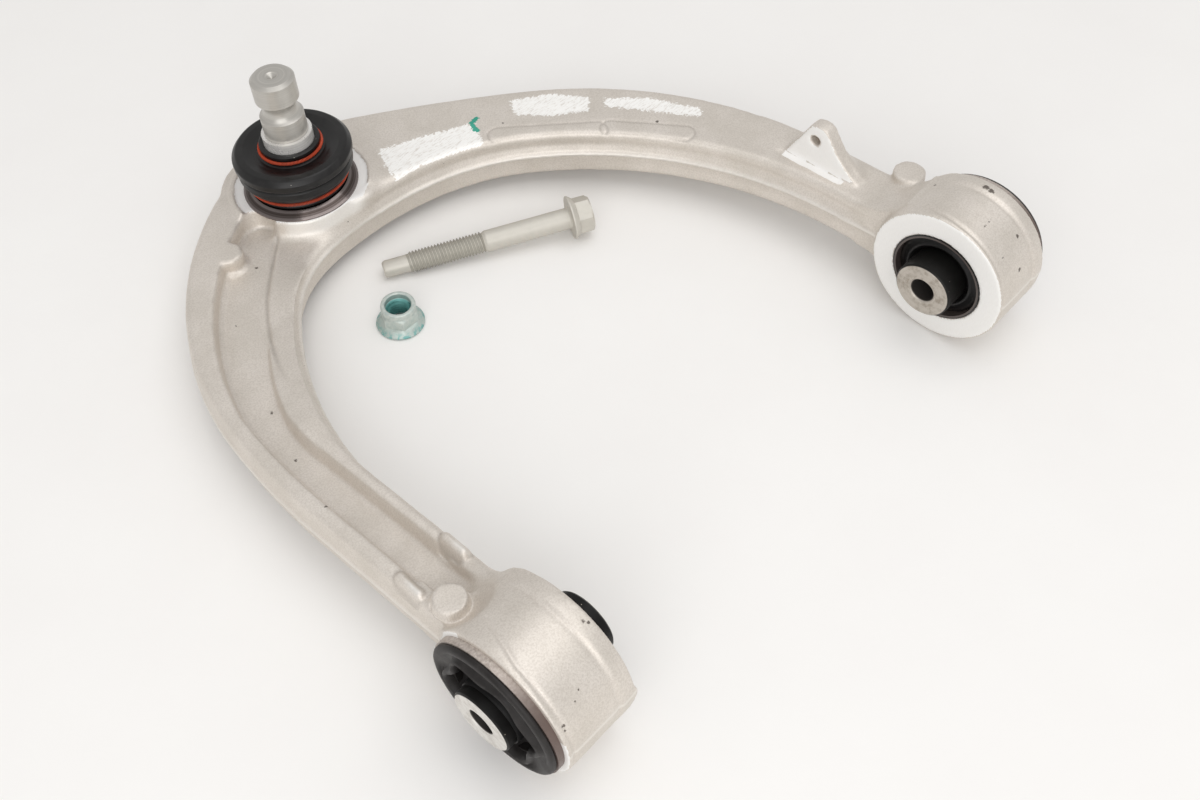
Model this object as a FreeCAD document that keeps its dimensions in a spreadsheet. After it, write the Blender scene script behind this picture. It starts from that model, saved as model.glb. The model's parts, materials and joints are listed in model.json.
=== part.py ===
import FreeCAD, Part
import math
import os

import Sketcher
from FreeCAD import Placement, Rotation, Vector

# Aluminium control arm with its ball joint, two bushes and the loose pinch bolt and nut.
# Millimetres. Origin: middle of the front bush on the pivot axis. +X runs along the pivot axis
# to the rear bush, +Y towards the ball joint, +Z up. The arm rests on its two eyes and on the
# bottom of the ball joint, so its own plane leans by rest_tilt about the pivot axis.

document = FreeCAD.newDocument("ControlArm")
sheet = document.addObject("Spreadsheet::Sheet", "Sizes")
TINY = 1e-9
row_count = 0


class Size:
    """A number together with the sheet formula that gives it."""

    def __init__(self, value, formula):
        self.value = float(value)
        self.formula = formula

    def __add__(self, other):
        return Size(self.value + number(other), f"({self.formula} + {formula(other)})")

    def __radd__(self, other):
        return Size(number(other) + self.value, f"({formula(other)} + {self.formula})")

    def __sub__(self, other):
        return Size(self.value - number(other), f"({self.formula} - {formula(other)})")

    def __rsub__(self, other):
        return Size(number(other) - self.value, f"({formula(other)} - {self.formula})")

    def __mul__(self, other):
        return Size(self.value * number(other), f"({self.formula} * {formula(other)})")

    def __rmul__(self, other):
        return Size(number(other) * self.value, f"({formula(other)} * {self.formula})")

    def __truediv__(self, other):
        return Size(self.value / number(other), f"({self.formula} / {formula(other)})")

    def __neg__(self):
        return Size(-self.value, f"(0 - {self.formula})")


def number(item):
    return item.value if isinstance(item, Size) else float(item)


def formula(item):
    return item.formula if isinstance(item, Size) else f"({item!r})"


def sine(angle):
    return Size(math.sin(math.radians(number(angle))), f"sin({formula(angle)})")


def cosine(angle):
    return Size(math.cos(math.radians(number(angle))), f"cos({formula(angle)})")


def tangent(angle):
    return Size(math.tan(math.radians(number(angle))), f"tan({formula(angle)})")


def arc_sine(ratio):
    return Size(math.degrees(math.asin(number(ratio))), f"asin({formula(ratio)})")


def arc_tangent(ratio):
    return Size(math.degrees(math.atan(number(ratio))), f"atan({formula(ratio)})")


def root(item):
    return Size(math.sqrt(number(item)), f"sqrt({formula(item)})")


def size(name, value):
    """Write one driving dimension into the sheet."""
    global row_count
    row_count += 1
    sheet.set(f"A{row_count}", name)
    sheet.set(f"B{row_count}", str(value))
    sheet.setAlias(f"B{row_count}", name)
    return Size(value, f"Sizes.{name}")


# ---------------------------------------------------------------- driving dimensions

# Layout of the whole arm
bush_spacing = size("bush_spacing", 262.0)
joint_reach = size("joint_reach", 246.0)
joint_side = size("joint_side", 102.0)

# Eyes that hold the bushes
eye_radius = size("eye_radius", 32.17)
eye_width = size("eye_width", 33.0)
bush_radius = size("bush_radius", 21.2)
press_gap = size("press_gap", 0.01)
running_gap = size("running_gap", 0.05)

# Beam of the arm: heights above and below the parting plane, draft, outline
beam_top = size("beam_top", 11.5)
beam_bottom = size("beam_bottom", 12.5)
draft = size("draft", 6.5)
front_leg_outer = size("front_leg_outer", 13.7)
front_leg_inner = size("front_leg_inner", 16.16)
rear_leg_outer = size("rear_leg_outer", 16.47)
rear_leg_inner = size("rear_leg_inner", 11.41)
edge_round = size("edge_round", 3.0)
ridge_width = size("ridge_width", 0.7)
ridge_height = size("ridge_height", 1.2)

# Outer edge of the arm: radii and turns of its tangent arcs, and where the crown's centre lies
outer_crown_side = size("outer_crown_side", 4.7)
outer_crown_back = size("outer_crown_back", 47.14)
outer_radius_first = size("outer_radius_first", 337.4)
outer_radius_crown = size("outer_radius_crown", 80.3)
outer_radius_rear = size("outer_radius_rear", 178.7)
outer_radius_last = size("outer_radius_last", 180.3)
outer_turns = [
    size("outer_turn_first", 9.61),
    size("outer_turn_front", 49.02),
    size("outer_turn_crown", 64.63),
    size("outer_turn_flat", 7.98),
    size("outer_turn_rear", 12.92),
]

# Inner edge of the arm, in the same way
inner_crown_side = size("inner_crown_side", -2.61)
inner_crown_back = size("inner_crown_back", 89.89)
inner_radius_first = size("inner_radius_first", 98.5)
inner_radius_crown = size("inner_radius_crown", 59.1)
inner_radius_rear = size("inner_radius_rear", 101.5)
inner_radius_last = size("inner_radius_last", 174.6)
inner_turns = [
    size("inner_turn_first", 10.68),
    size("inner_turn_front", 30.29),
    size("inner_turn_crown", 41.87),
    size("inner_turn_flat", 22.62),
    size("inner_turn_rear", 25.44),
]

# Channels that make the legs an H section
rim_width = size("rim_width", 9.3)
web_top = size("web_top", 3.5)
web_bottom = size("web_bottom", 3.5)
ledge_top = size("ledge_top", 4.3)
strip_left = size("strip_left", 4.4)
strip_right = size("strip_right", 8.0)
channel_front_radius = size("channel_front_radius", 149.4)
channel_end_radius = size("channel_end_radius", 7.6)
ledge_turn = size("ledge_turn", 30.0)
wall_foot = size("wall_foot", 0.5)
overlap = size("overlap", 2.0)
channel_draft = size("channel_draft", 13.0)
channel_start = size("channel_start", 34.0)
neck_radius = size("neck_radius", 30.0)
neck_end = size("neck_end", 46.3)

ramp_back = size("ramp_back", 109.0)
ramp_length = size("ramp_length", 56.0)

# Boss of the ball joint
bulge_angle = size("bulge_angle", 12.0)
boss_radius = size("boss_radius", 38.5)
boss_front_radius = size("boss_front_radius", 28.0)
boss_top = size("boss_top", 13.5)
seat_depth = size("seat_depth", 1.0)
seat_radius = size("seat_radius", 30.6)
seat_rim = size("seat_rim", 1.6)
collar_slope = size("collar_slope", 45.0)
cartridge_radius = size("cartridge_radius", 22.0)

# Ejector pads
pad_radius = size("pad_radius", 7.7)
pad_foot = size("pad_foot", 2.0)
pad_draft = size("pad_draft", 2.0)
neck_pad_top = size("neck_pad_top", 16.5)
rear_pad_side = size("rear_pad_side", 16.3)
channel_pad_radius = size("channel_pad_radius", 6.7)

# Sensor bracket tab on the rear leg
tab_offset = size("tab_offset", 2.0)
tab_reach = size("tab_reach", 76.5)
tab_top = size("tab_top", 32.6)
tab_back_edge = size("tab_back_edge", 2.0)
tab_hole_height = size("tab_hole_height", 24.5)
shelf_width = size("shelf_width", 5.0)
shelf_depth = size("shelf_depth", 0.5)
tab_thickness = size("tab_thickness", 7.0)
tab_hole_radius = size("tab_hole_radius", 2.6)

# Ball joint, heights from the parting plane along the stud
ball_radius = size("ball_radius", 13.5)
ball_height = size("ball_height", 2.0)
joint_depth = size("joint_depth", 15.5)
joint_bottom_radius = size("joint_bottom_radius", 20.0)
shoulder_radius = size("shoulder_radius", 26.0)
shoulder_height = size("shoulder_height", 0.6)
cone_height = size("cone_height", 2.6)
cone_land = size("cone_land", 0.5)
cuff_height = size("cuff_height", 5.1)
mouth_wall = size("mouth_wall", 2.9)
cap_thickness = size("cap_thickness", 2.5)
cap_radius = size("cap_radius", 18.2)
crimp_height = size("crimp_height", 1.4)
preload_height = size("preload_height", 2.0)
seat_wall = size("seat_wall", 3.6)
seat_opening = size("seat_opening", 57.4)
seat_lip = size("seat_lip", 1.7)
ring_height = size("ring_height", 1.4)
ring_reach = size("ring_reach", 1.8)
tilt_room = size("tilt_room", 21.5)
mouth_gap = size("mouth_gap", 1.1)
throat_gap = size("throat_gap", 0.7)

# Ball stud
neck_radius_stud = size("neck_radius_stud", 7.5)
stud_radius = size("stud_radius", 9.6)
collar_seat_depth = size("collar_seat_depth", 0.3)
taper_start = size("taper_start", 15.0)
taper_end = size("taper_end", 34.0)
shank_end = size("shank_end", 52.3)
waist_length = size("waist_length", 8.7)
waist_radius = size("waist_radius", 5.2)
head_end = size("head_end", 72.0)
head_chamfer = size("head_chamfer", 1.5)
dimple_radius = size("dimple_radius", 2.6)
dimple_depth = size("dimple_depth", 1.8)

# Dust boot, its rings and the collar
collar_radius = size("collar_radius", 11.15)
collar_top = size("collar_top", 43.0)
collar_bottom = size("collar_bottom", 34.6)
boot_wall = size("boot_wall", 1.9)
boot_gap = size("boot_gap", 0.15)
boot_lip_top = size("boot_lip_top", 38.3)
boot_lip_radius = size("boot_lip_radius", 13.5)
boot_valley = size("boot_valley", 33.6)
boot_valley_radius = size("boot_valley_radius", 15.6)
boot_dome_radius = size("boot_dome_radius", 26.65)
boot_dome_height = size("boot_dome_height", 35.3)
dome_edge_height = size("dome_edge_height", 31.4)
dome_round_radius = size("dome_round_radius", 3.6)
dome_top_radius = size("dome_top_radius", 40.0)
boot_fold_radius = size("boot_fold_radius", 25.7)
boot_fold_height = size("boot_fold_height", 24.8)
fold_under_radius = size("fold_under_radius", 6.0)
fold_round_radius = size("fold_round_radius", 2.6)
crease_radius = size("crease_radius", 24.3)
crease_height = size("crease_height", 28.2)
boot_cuff_radius = size("boot_cuff_radius", 21.6)
wire_radius = size("wire_radius", 0.8)
upper_ring_height = size("upper_ring_height", 35.4)
lower_ring_height = size("lower_ring_height", 19.6)

# Bushes: half lengths along the pivot axis, radii
core_radius = size("core_radius", 13.05)
core_bore_radius = size("core_bore_radius", 5.35)
core_half_length = size("core_half_length", 26.7)
core_chamfer = size("core_chamfer", 0.8)
sleeve_wall = size("sleeve_wall", 1.3)
sleeve_flange_radius = size("sleeve_flange_radius", 29.5)
sleeve_flange_thickness = size("sleeve_flange_thickness", 2.9)
flange_gap = size("flange_gap", 0.5)
rubber_recess = size("rubber_recess", 2.5)
rubber_ring_radius = size("rubber_ring_radius", 28.0)
rubber_ring_bore = size("rubber_ring_bore", 17.6)
rubber_ring_height = size("rubber_ring_height", 3.6)
rubber_edge_height = size("rubber_edge_height", 1.4)
rubber_crest_radius = size("rubber_crest_radius", 21.6)
rubber_slope_radius = size("rubber_slope_radius", 9.0)
crest_drop = size("crest_drop", 1.3)
scallop_count = 6
scallop_reach = size("scallop_reach", 17.4)
scallop_radius = size("scallop_radius", 3.6)
scallop_depth = size("scallop_depth", 1.5)
scallop_turn = size("scallop_turn", 110.0)
void_wall = size("void_wall", 1.4)
void_width = size("void_width", 4.6)
void_depth = size("void_depth", 8.0)
void_turn = size("void_turn", 20.0)
void_angle = size("void_angle", 34.0)

# Loose pinch bolt, lengths from under its flange
bolt_radius = size("bolt_radius", 5.0)
bolt_shank = size("bolt_shank", 42.0)
bolt_thread = size("bolt_thread", 36.3)
bolt_pilot = size("bolt_pilot", 11.0)
bolt_pilot_radius = size("bolt_pilot_radius", 4.0)
bolt_chamfer = size("bolt_chamfer", 0.8)
bolt_flange_radius = size("bolt_flange_radius", 10.2)
bolt_flange_edge = size("bolt_flange_edge", 0.8)
bolt_cone_height = size("bolt_cone_height", 2.6)
bolt_head_height = size("bolt_head_height", 10.4)
hex_width = size("hex_width", 15.0)
bolt_side = size("bolt_side", 79.7)
bolt_back = size("bolt_back", 91.9)
bolt_heading = size("bolt_heading", 150.3)

# Loose pinch nut
nut_side = size("nut_side", 11.2)
nut_back = size("nut_back", 73.4)
nut_height = size("nut_height", 12.2)
nut_flange_radius = size("nut_flange_radius", 10.9)
nut_flange_edge = size("nut_flange_edge", 0.8)
nut_cone_height = size("nut_cone_height", 3.2)
nut_collar_edge = size("nut_collar_edge", 0.8)
nut_hex_top = size("nut_hex_top", 8.6)
nut_collar_radius = size("nut_collar_radius", 7.8)
nut_recess_radius = size("nut_recess_radius", 5.8)
nut_recess_depth = size("nut_recess_depth", 3.0)
nut_hole_radius = size("nut_hole_radius", 4.4)

# The arm's plane leans until the bottom of the ball joint meets the table under the eyes
lean_reach = joint_reach + joint_bottom_radius
lean_distance = root(lean_reach * lean_reach + joint_depth * joint_depth)
rest_tilt = arc_sine(eye_radius / lean_distance) - arc_tangent(joint_depth / lean_reach)


# ---------------------------------------------------------------- helpers

def bind(item, name, amount):
    item.setExpression(name, formula(amount))


def new_body(name):
    body = document.addObject("PartDesign::Body", name)
    body.Label = name
    return body


def new_sketch(body, name, plane, offset=0):
    """A sketch on one of the body's own origin planes, lifted by offset along its normal."""
    sketch = body.newObject("Sketcher::SketchObject", name)
    support = [item for item in body.Origin.OriginFeatures if item.Role == plane][0]
    sketch.AttachmentSupport = [(support, "")]
    sketch.MapMode = "FlatFace"
    sketch.AttachmentOffset = Placement(Vector(0, 0, number(offset)), Rotation())
    bind(sketch, "AttachmentOffset.Base.z", offset)
    return sketch


def pin_point(sketch, geometry, position, x, y):
    """Hold one point of the sketch at x, y."""
    for kind, amount, axis in (("DistanceX", x, -2), ("DistanceY", y, -1)):
        if abs(number(amount)) < TINY:
            sketch.addConstraint(Sketcher.Constraint("PointOnObject", geometry, position, axis))
            continue
        index = sketch.addConstraint(
            Sketcher.Constraint(kind, -1, 1, geometry, position, number(amount)))
        sketch.setExpression(f"Constraints[{index}]", formula(amount))


def hold(sketch, kind, geometry, amount, angle=False):
    """Give one curve a radius or an arc angle."""
    datum = math.radians(number(amount)) if angle else number(amount)
    index = sketch.addConstraint(Sketcher.Constraint(kind, geometry, datum))
    sketch.setExpression(f"Constraints[{index}]", formula(amount))


def draw_circle(sketch, x, y, radius):
    centre = Vector(number(x), number(y), 0)
    circle = sketch.addGeometry(Part.Circle(centre, Vector(0, 0, 1), number(radius)), False)
    pin_point(sketch, circle, 3, x, y)
    hold(sketch, "Radius", circle, radius)


def arc_between(start, end, radius):
    """Short arc from start to end; a positive radius turns left, a negative one right."""
    chord = end - start
    half = chord.Length / 2
    middle = (start + end) / 2
    left = Vector(-chord.y, chord.x, 0) / chord.Length
    rise = math.sqrt(max(radius * radius - half * half, 0))
    centre = middle + left * (rise if radius > 0 else -rise)
    first = math.atan2(start.y - centre.y, start.x - centre.x)
    last = math.atan2(end.y - centre.y, end.x - centre.x)
    circle = Part.Circle(centre, Vector(0, 0, 1), abs(radius))
    return Part.ArcOfCircle(circle, first, last) if radius > 0 else Part.ArcOfCircle(circle, last, first)


def draw_outline(sketch, corners):
    """Closed outline through corners (x, y) or (x, y, radius of the arc that ends there)."""
    points = [Vector(number(corner[0]), number(corner[1]), 0) for corner in corners]
    curves = []
    for place, corner in enumerate(corners):
        start, end = points[place - 1], points[place]
        if len(corner) == 3:
            radius = number(corner[2])
            curve = sketch.addGeometry(arc_between(start, end, radius), False)
            ends = (1, 2) if radius > 0 else (2, 1)
            hold(sketch, "Radius", curve, corner[2] if radius > 0 else -corner[2])
        else:
            curve = sketch.addGeometry(Part.LineSegment(start, end), False)
            ends = (1, 2)
        curves.append((curve, ends))
        pin_point(sketch, curve, ends[1], corner[0], corner[1])
    for place, (curve, ends) in enumerate(curves):
        last_curve, last_ends = curves[place - 1]
        sketch.addConstraint(
            Sketcher.Constraint("Coincident", last_curve, last_ends[1], curve, ends[0]))


def draw_edge(sketch, start_x, end_x, base, centre, radii, turns, grow):
    """Half of the U: straight leg, tangent arcs to the right round the crown, straight leg.

    The radii are (first, crown, rear, last); the arcs before and after the crown's are free
    and take up what the legs' and the crown's places ask for. grow offsets the whole edge.
    """
    first, crown, rear, last = [radius + grow for radius in radii]
    head = [0.0]
    for turn in turns:
        head.append(head[-1] + math.radians(number(turn)))
    head.append(math.pi)
    start, stop = number(start_x) - number(grow), number(end_x) + number(grow)
    middle = Vector(number(centre[0]), number(centre[1]), 0)
    cos = [math.cos(angle) for angle in head]
    sin = [math.sin(angle) for angle in head]
    reach = middle.x - start - number(first) * (1 - cos[1]) - number(crown) * cos[2]
    front = reach / (cos[1] - cos[2])
    after = stop - middle.x + number(crown) * cos[3]
    after -= number(rear) * (cos[4] - cos[5]) + number(last) * (cos[5] - cos[6])
    flat = after / (cos[3] - cos[4])
    radius_values = [number(first), front, number(crown), flat, number(rear), number(last)]
    climb = middle.y + number(crown) * sin[2] - front * (sin[2] - sin[1]) - number(first) * sin[1]
    point = Vector(start, climb, 0)
    line = sketch.addGeometry(
        Part.LineSegment(Vector(start, number(base), 0), point), False)
    pin_point(sketch, line, 1, start_x - grow, base)
    sketch.addConstraint(Sketcher.Constraint("Vertical", line))
    before, before_end = line, 2
    for place, radius in enumerate(radius_values):
        hub = point + Vector(cos[place], -sin[place], 0) * radius
        point = hub + Vector(-cos[place + 1], sin[place + 1], 0) * radius
        circle = Part.Circle(hub, Vector(0, 0, 1), radius)
        arc = sketch.addGeometry(
            Part.ArcOfCircle(circle, math.pi - head[place + 1], math.pi - head[place]), False)
        sketch.addConstraint(Sketcher.Constraint("Tangent", before, before_end, arc, 2))
        if place in (0, 2, 4, 5):
            hold(sketch, "Radius", arc, {0: first, 2: crown, 4: rear, 5: last}[place])
        if place < 5:
            hold(sketch, "Angle", arc, turns[place], angle=True)
        if place == 2:
            pin_point(sketch, arc, 3, centre[0], centre[1])
        before, before_end = arc, 1
    final = sketch.addGeometry(
        Part.LineSegment(point, Vector(point.x, number(base), 0)), False)
    sketch.addConstraint(Sketcher.Constraint("Tangent", before, before_end, final, 1))
    pin_point(sketch, final, 2, end_x + grow, base)
    return line, final


def draw_arm_outline(sketch, base, grow):
    """The whole U between its outer and inner edges, both moved out of the metal by grow."""
    outer = draw_edge(
        sketch, -front_leg_outer, bush_spacing + rear_leg_outer, base,
        (joint_side + outer_crown_side, joint_reach - outer_crown_back),
        (outer_radius_first, outer_radius_crown, outer_radius_rear, outer_radius_last),
        outer_turns, grow)
    inner = draw_edge(
        sketch, front_leg_inner, bush_spacing - rear_leg_inner, base,
        (joint_side + inner_crown_side, joint_reach - inner_crown_back),
        (inner_radius_first, inner_radius_crown, inner_radius_rear, inner_radius_last),
        inner_turns, -grow)
    for outer_line, inner_line, position in zip(outer, inner, (1, 2)):
        ends = [sketch.getPoint(outer_line, position), sketch.getPoint(inner_line, position)]
        cap = sketch.addGeometry(Part.LineSegment(*ends), False)
        sketch.addConstraint(Sketcher.Constraint("Coincident", cap, 1, outer_line, position))
        sketch.addConstraint(Sketcher.Constraint("Coincident", cap, 2, inner_line, position))


def pad(body, sketch, name, length, symmetric=False, taper=0, reversed_side=False):
    feature = body.newObject("PartDesign::Pad", name)
    feature.Profile = sketch
    bind(feature, "Length", length)
    feature.SideType = "Symmetric" if symmetric else "One side"
    feature.Reversed = reversed_side
    if isinstance(taper, Size):
        bind(feature, "TaperAngle", taper)
    return feature


def pocket(body, sketch, name, length, symmetric=False, taper=0, reversed_side=False):
    """Pocket that must take metal away."""
    before = body.Shape.Volume
    feature = body.newObject("PartDesign::Pocket", name)
    feature.Profile = sketch
    bind(feature, "Length", length)
    feature.SideType = "Symmetric" if symmetric else "One side"
    feature.Reversed = reversed_side
    if isinstance(taper, Size):
        bind(feature, "TaperAngle", taper)
    document.recompute()
    if feature.Shape.Volume >= before - TINY:
        raise ValueError(f"{name} cuts nothing")
    return feature


def revolve(body, sketch, name, axis):
    feature = body.newObject("PartDesign::Revolution", name)
    feature.Profile = sketch
    feature.ReferenceAxis = (sketch, [axis])
    feature.Angle = 360
    return feature


def edges_where(shape, test):
    """Names of the edges whose middle point passes the test."""
    names = []
    for place, edge in enumerate(shape.Edges):
        middle = edge.valueAt((edge.FirstParameter + edge.LastParameter) / 2)
        if test(edge, middle):
            names.append(f"Edge{place + 1}")
    return names


def fillet(body, name, base, edges, radius):
    feature = body.newObject("PartDesign::Fillet", name)
    feature.Base = (base, edges)
    bind(feature, "Radius", radius)
    return feature


def loft(body, name, first, second):
    """Metal that runs straight from one sketch to another with as many corners."""
    feature = body.newObject("PartDesign::AdditiveLoft", name)
    feature.Profile = first
    feature.Sections = [second]
    feature.Ruled = True
    return feature


def lean(item, x=0, reach=0):
    """Place a piece that is drawn in the arm's leaning plane, or about the stud's axis there."""
    item.Placement = Placement(Vector(), Rotation(Vector(-1, 0, 0), rest_tilt.value))
    bind(item, "Placement.Rotation.Angle", rest_tilt)
    bind(item, "Placement.Base.x", x)
    bind(item, "Placement.Base.y", reach * cosine(rest_tilt))
    bind(item, "Placement.Base.z", -(reach * sine(rest_tilt)))
    return item


def turned(name, corners):
    """A round piece of the ball joint: outline (radius, height) turned about the stud's axis."""
    body = new_body(name)
    sketch = new_sketch(body, f"{name}_profile", "XZ_Plane")
    draw_outline(sketch, corners)
    revolve(body, sketch, f"{name}_turn", "V_Axis")
    return lean(body, joint_side, joint_reach)


def wire_ring(name, radius, height):
    """A coil ring round the boot, as one plain torus."""
    ring = document.addObject("Part::Torus", name)
    ring.Label = name
    bind(ring, "Radius1", radius)
    bind(ring, "Radius2", wire_radius)
    holder = lean(ring, joint_side, joint_reach)
    bind(holder, "Placement.Base.y", joint_reach * cosine(rest_tilt) + height * sine(rest_tilt))
    bind(holder, "Placement.Base.z", height * cosine(rest_tilt) - joint_reach * sine(rest_tilt))
    return holder


# ---------------------------------------------------------------- arm forging

def make_arm_forging():
    body = new_body("arm_forging")
    outline = new_sketch(body, "arm_outline", "XY_Plane")
    draw_arm_outline(outline, 0, 0)
    pad(body, outline, "beam_up", beam_top, taper=-draft)
    beam = pad(body, outline, "beam_down", beam_bottom, taper=-draft, reversed_side=True)
    document.recompute()

    def beam_rim(edge, middle):
        top = abs(middle.z - beam_top.value) < TINY or abs(middle.z + beam_bottom.value) < TINY
        return top and middle.y > 1

    fillet(body, "beam_edge", beam, edges_where(beam.Shape, beam_rim), edge_round)
    document.recompute()

    add_boss(body)
    add_eyes(body)
    add_channels(body)
    add_pads(body)
    add_bracket(body)
    cut_bores(body)
    return lean(body)


def add_boss(body):
    """Boss of the ball joint: round core, bulging back, and the raised ring for the seat."""
    core = new_sketch(body, "boss_round", "XY_Plane")
    draw_circle(core, joint_side, joint_reach, boss_front_radius)
    pad(body, core, "boss_up", boss_top, taper=-draft)
    pad(body, core, "boss_down", beam_bottom, taper=-draft, reversed_side=True)
    bulge = new_sketch(body, "boss_bulge", "XY_Plane")
    span = boss_radius * cosine(bulge_angle)
    rise = boss_radius * sine(bulge_angle)
    draw_outline(bulge, [
        (joint_side + span, joint_reach - rise),
        (joint_side, joint_reach + boss_radius, boss_radius),
        (joint_side - span, joint_reach - rise, boss_radius),
    ])
    pad(body, bulge, "bulge_up", beam_top, taper=-draft)
    pad(body, bulge, "bulge_down", beam_bottom, taper=-draft, reversed_side=True)
    foot = beam_top - (boss_top - beam_top)
    collar = new_sketch(body, "boss_collar_round", "XY_Plane", foot)
    draw_circle(collar, joint_side, joint_reach, seat_radius + seat_rim + (boss_top - foot))
    pad(body, collar, "boss_collar", boss_top - foot, taper=-collar_slope)
    document.recompute()


def add_channels(body):
    """The front leg's top channel with its falling inner rim, and the channel underneath."""
    # Beside the eye the web runs up into the neck as a hollow, so that the channel fades out
    hub = web_top + neck_radius
    run = root((eye_radius + neck_radius) * (eye_radius + neck_radius) - hub * hub)
    share = eye_radius / (eye_radius + neck_radius)
    hollow = new_sketch(body, "neck_hollow", "YZ_Plane", (strip_right - strip_left) / 2)
    draw_outline(hollow, [
        (run + overlap, eye_radius),
        (run * share, eye_radius),
        (run * share, hub * share),
        (run, web_top, neck_radius),
        (run + overlap, web_top),
    ])
    pocket(body, hollow, "neck_hollow_cut", strip_right + strip_left, symmetric=True)

    floor = new_sketch(body, "channel_floor", "XY_Plane", web_top)
    first = outer_radius_first - rim_width
    draw_outline(floor, [
        (-strip_left, run),
        (-strip_left, joint_reach - 144.0),
        (rim_width - front_leg_outer + 4.6, joint_reach - 89.2, -first),
        (joint_side - 56.0, joint_reach - 15.0, -channel_front_radius),
        (joint_side - 34.0, joint_reach + 0.5, -120.0),
        (joint_side - 23.0, joint_reach - 6.5, -channel_end_radius),
        (joint_side - 53.2, joint_reach - 36.5),
        (joint_side - 70.2, joint_reach - 61.0, 260.0),
        (joint_side - 90.9, joint_reach - 97.5, 140.0),
        (strip_right, joint_reach - 127.0, 75.0),
        (strip_right, run),
    ])
    pocket(body, floor, "channel", beam_top, taper=channel_draft, reversed_side=True)

    # The inner rim falls to the ledge: everything above a tilted plane goes
    ramp = new_sketch(body, "ramp_plane", "XY_Plane")
    drop = arc_tangent((beam_top - ledge_top) / ramp_length)
    ramp.AttachmentOffset = Placement(Vector(), Rotation(Vector(-1, 0, 0), drop.value))
    bind(ramp, "AttachmentOffset.Rotation.Angle", drop)
    bind(ramp, "AttachmentOffset.Base.y", joint_reach - ramp_back)
    bind(ramp, "AttachmentOffset.Base.z", beam_top)
    slope = ramp_length / cosine(drop)
    draw_outline(ramp, [
        (joint_side - 97.0, 0),
        (joint_side - 62.0, 0),
        (joint_side - 40.0, slope),
        (joint_side - 73.0, slope),
        (joint_side - 88.0, slope / 2),
    ])
    pocket(body, ramp, "ramp", beam_top, reversed_side=True)

    # The ledge in front of the boss is cut down to about the channel's floor
    ledge = new_sketch(body, "ledge_floor", "XY_Plane", ledge_top)
    wall = boss_front_radius - wall_foot
    draw_outline(ledge, [
        (joint_side - 73.5, joint_reach - ramp_back + ramp_length),
        (joint_side - 40.0, joint_reach - ramp_back + ramp_length),
        (joint_side + 8.0, joint_reach - 48.0),
        (joint_side + 18.0, joint_reach - 33.5),
        (joint_side + 4.0, joint_reach - wall, 60.0),
        (joint_side - wall * cosine(ledge_turn), joint_reach - wall * sine(ledge_turn), -wall),
        (joint_side - 30.5, joint_reach - 9.5),
    ])
    pocket(body, ledge, "ledge", beam_top, reversed_side=True)

    # Underneath, one channel follows the whole U between its rims
    under = new_sketch(body, "under_channel", "XY_Plane", -web_bottom)
    draw_arm_outline(under, channel_start, -rim_width)
    pocket(body, under, "under_cut", beam_bottom, taper=channel_draft)


def add_eyes(body):
    """Two bush eyes on the pivot axis, with a concave neck into each leg."""
    for name, place, left, right in (
            ("front", 0, -front_leg_outer, front_leg_inner),
            ("rear", bush_spacing, bush_spacing - rear_leg_inner, bush_spacing + rear_leg_outer)):
        neck = new_sketch(body, f"{name}_neck", "XY_Plane")
        draw_outline(neck, [(left, 0), (right, 0), (right, neck_end), (left, neck_end)])
        pad(body, neck, f"{name}_neck_up", eye_radius * 0.75, taper=-draft)
        pad(body, neck, f"{name}_neck_down", eye_radius * 0.75, taper=-draft, reversed_side=True)
        document.recompute()
        for side, level in ((1, beam_top), (-1, beam_bottom)):
            hollow = new_sketch(body, f"{name}_hollow_{side + 1}", "YZ_Plane", place)
            hub = level + neck_radius
            gap = root((eye_radius + neck_radius) * (eye_radius + neck_radius) - hub * hub)
            share = eye_radius / (eye_radius + neck_radius)
            draw_outline(hollow, [
                (neck_end + 2, eye_radius * side),
                (gap * share, eye_radius * side),
                (gap * share, hub * share * side),
                (gap, level * side, neck_radius * side),
                (neck_end + 2, level * side),
            ])
            pocket(body, hollow, f"{name}_hollow_cut_{side + 1}", eye_width * 2, symmetric=True)
        ring = new_sketch(body, f"{name}_eye", "YZ_Plane", place)
        draw_circle(ring, 0, 0, eye_radius)
        pad(body, ring, f"{name}_eye_pad", eye_width, symmetric=True)
    ridge = new_sketch(body, "ridge_outline", "XY_Plane")
    draw_arm_outline(ridge, sleeve_flange_radius + flange_gap, ridge_width)
    pad(body, ridge, "ridge", ridge_height, symmetric=True)
    document.recompute()


def add_pads(body):
    """Ejector pads on the top side: one on each leg's neck and one at the channel's end."""
    beyond_flange = sleeve_flange_radius + flange_gap + pad_radius
    for name, x, reach, radius, top in (
            ("front_pad", -5.3, 34.4, pad_radius, neck_pad_top),
            ("rear_pad", bush_spacing + rear_pad_side, beyond_flange, pad_radius, neck_pad_top),
            ("channel_pad", joint_side - 49.5, joint_reach - 9.3, channel_pad_radius, beam_top)):
        sketch = new_sketch(body, f"{name}_round", "XY_Plane", pad_foot)
        draw_circle(sketch, x, reach, radius)
        pad(body, sketch, name, top - pad_foot, taper=-pad_draft)
    document.recompute()


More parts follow.
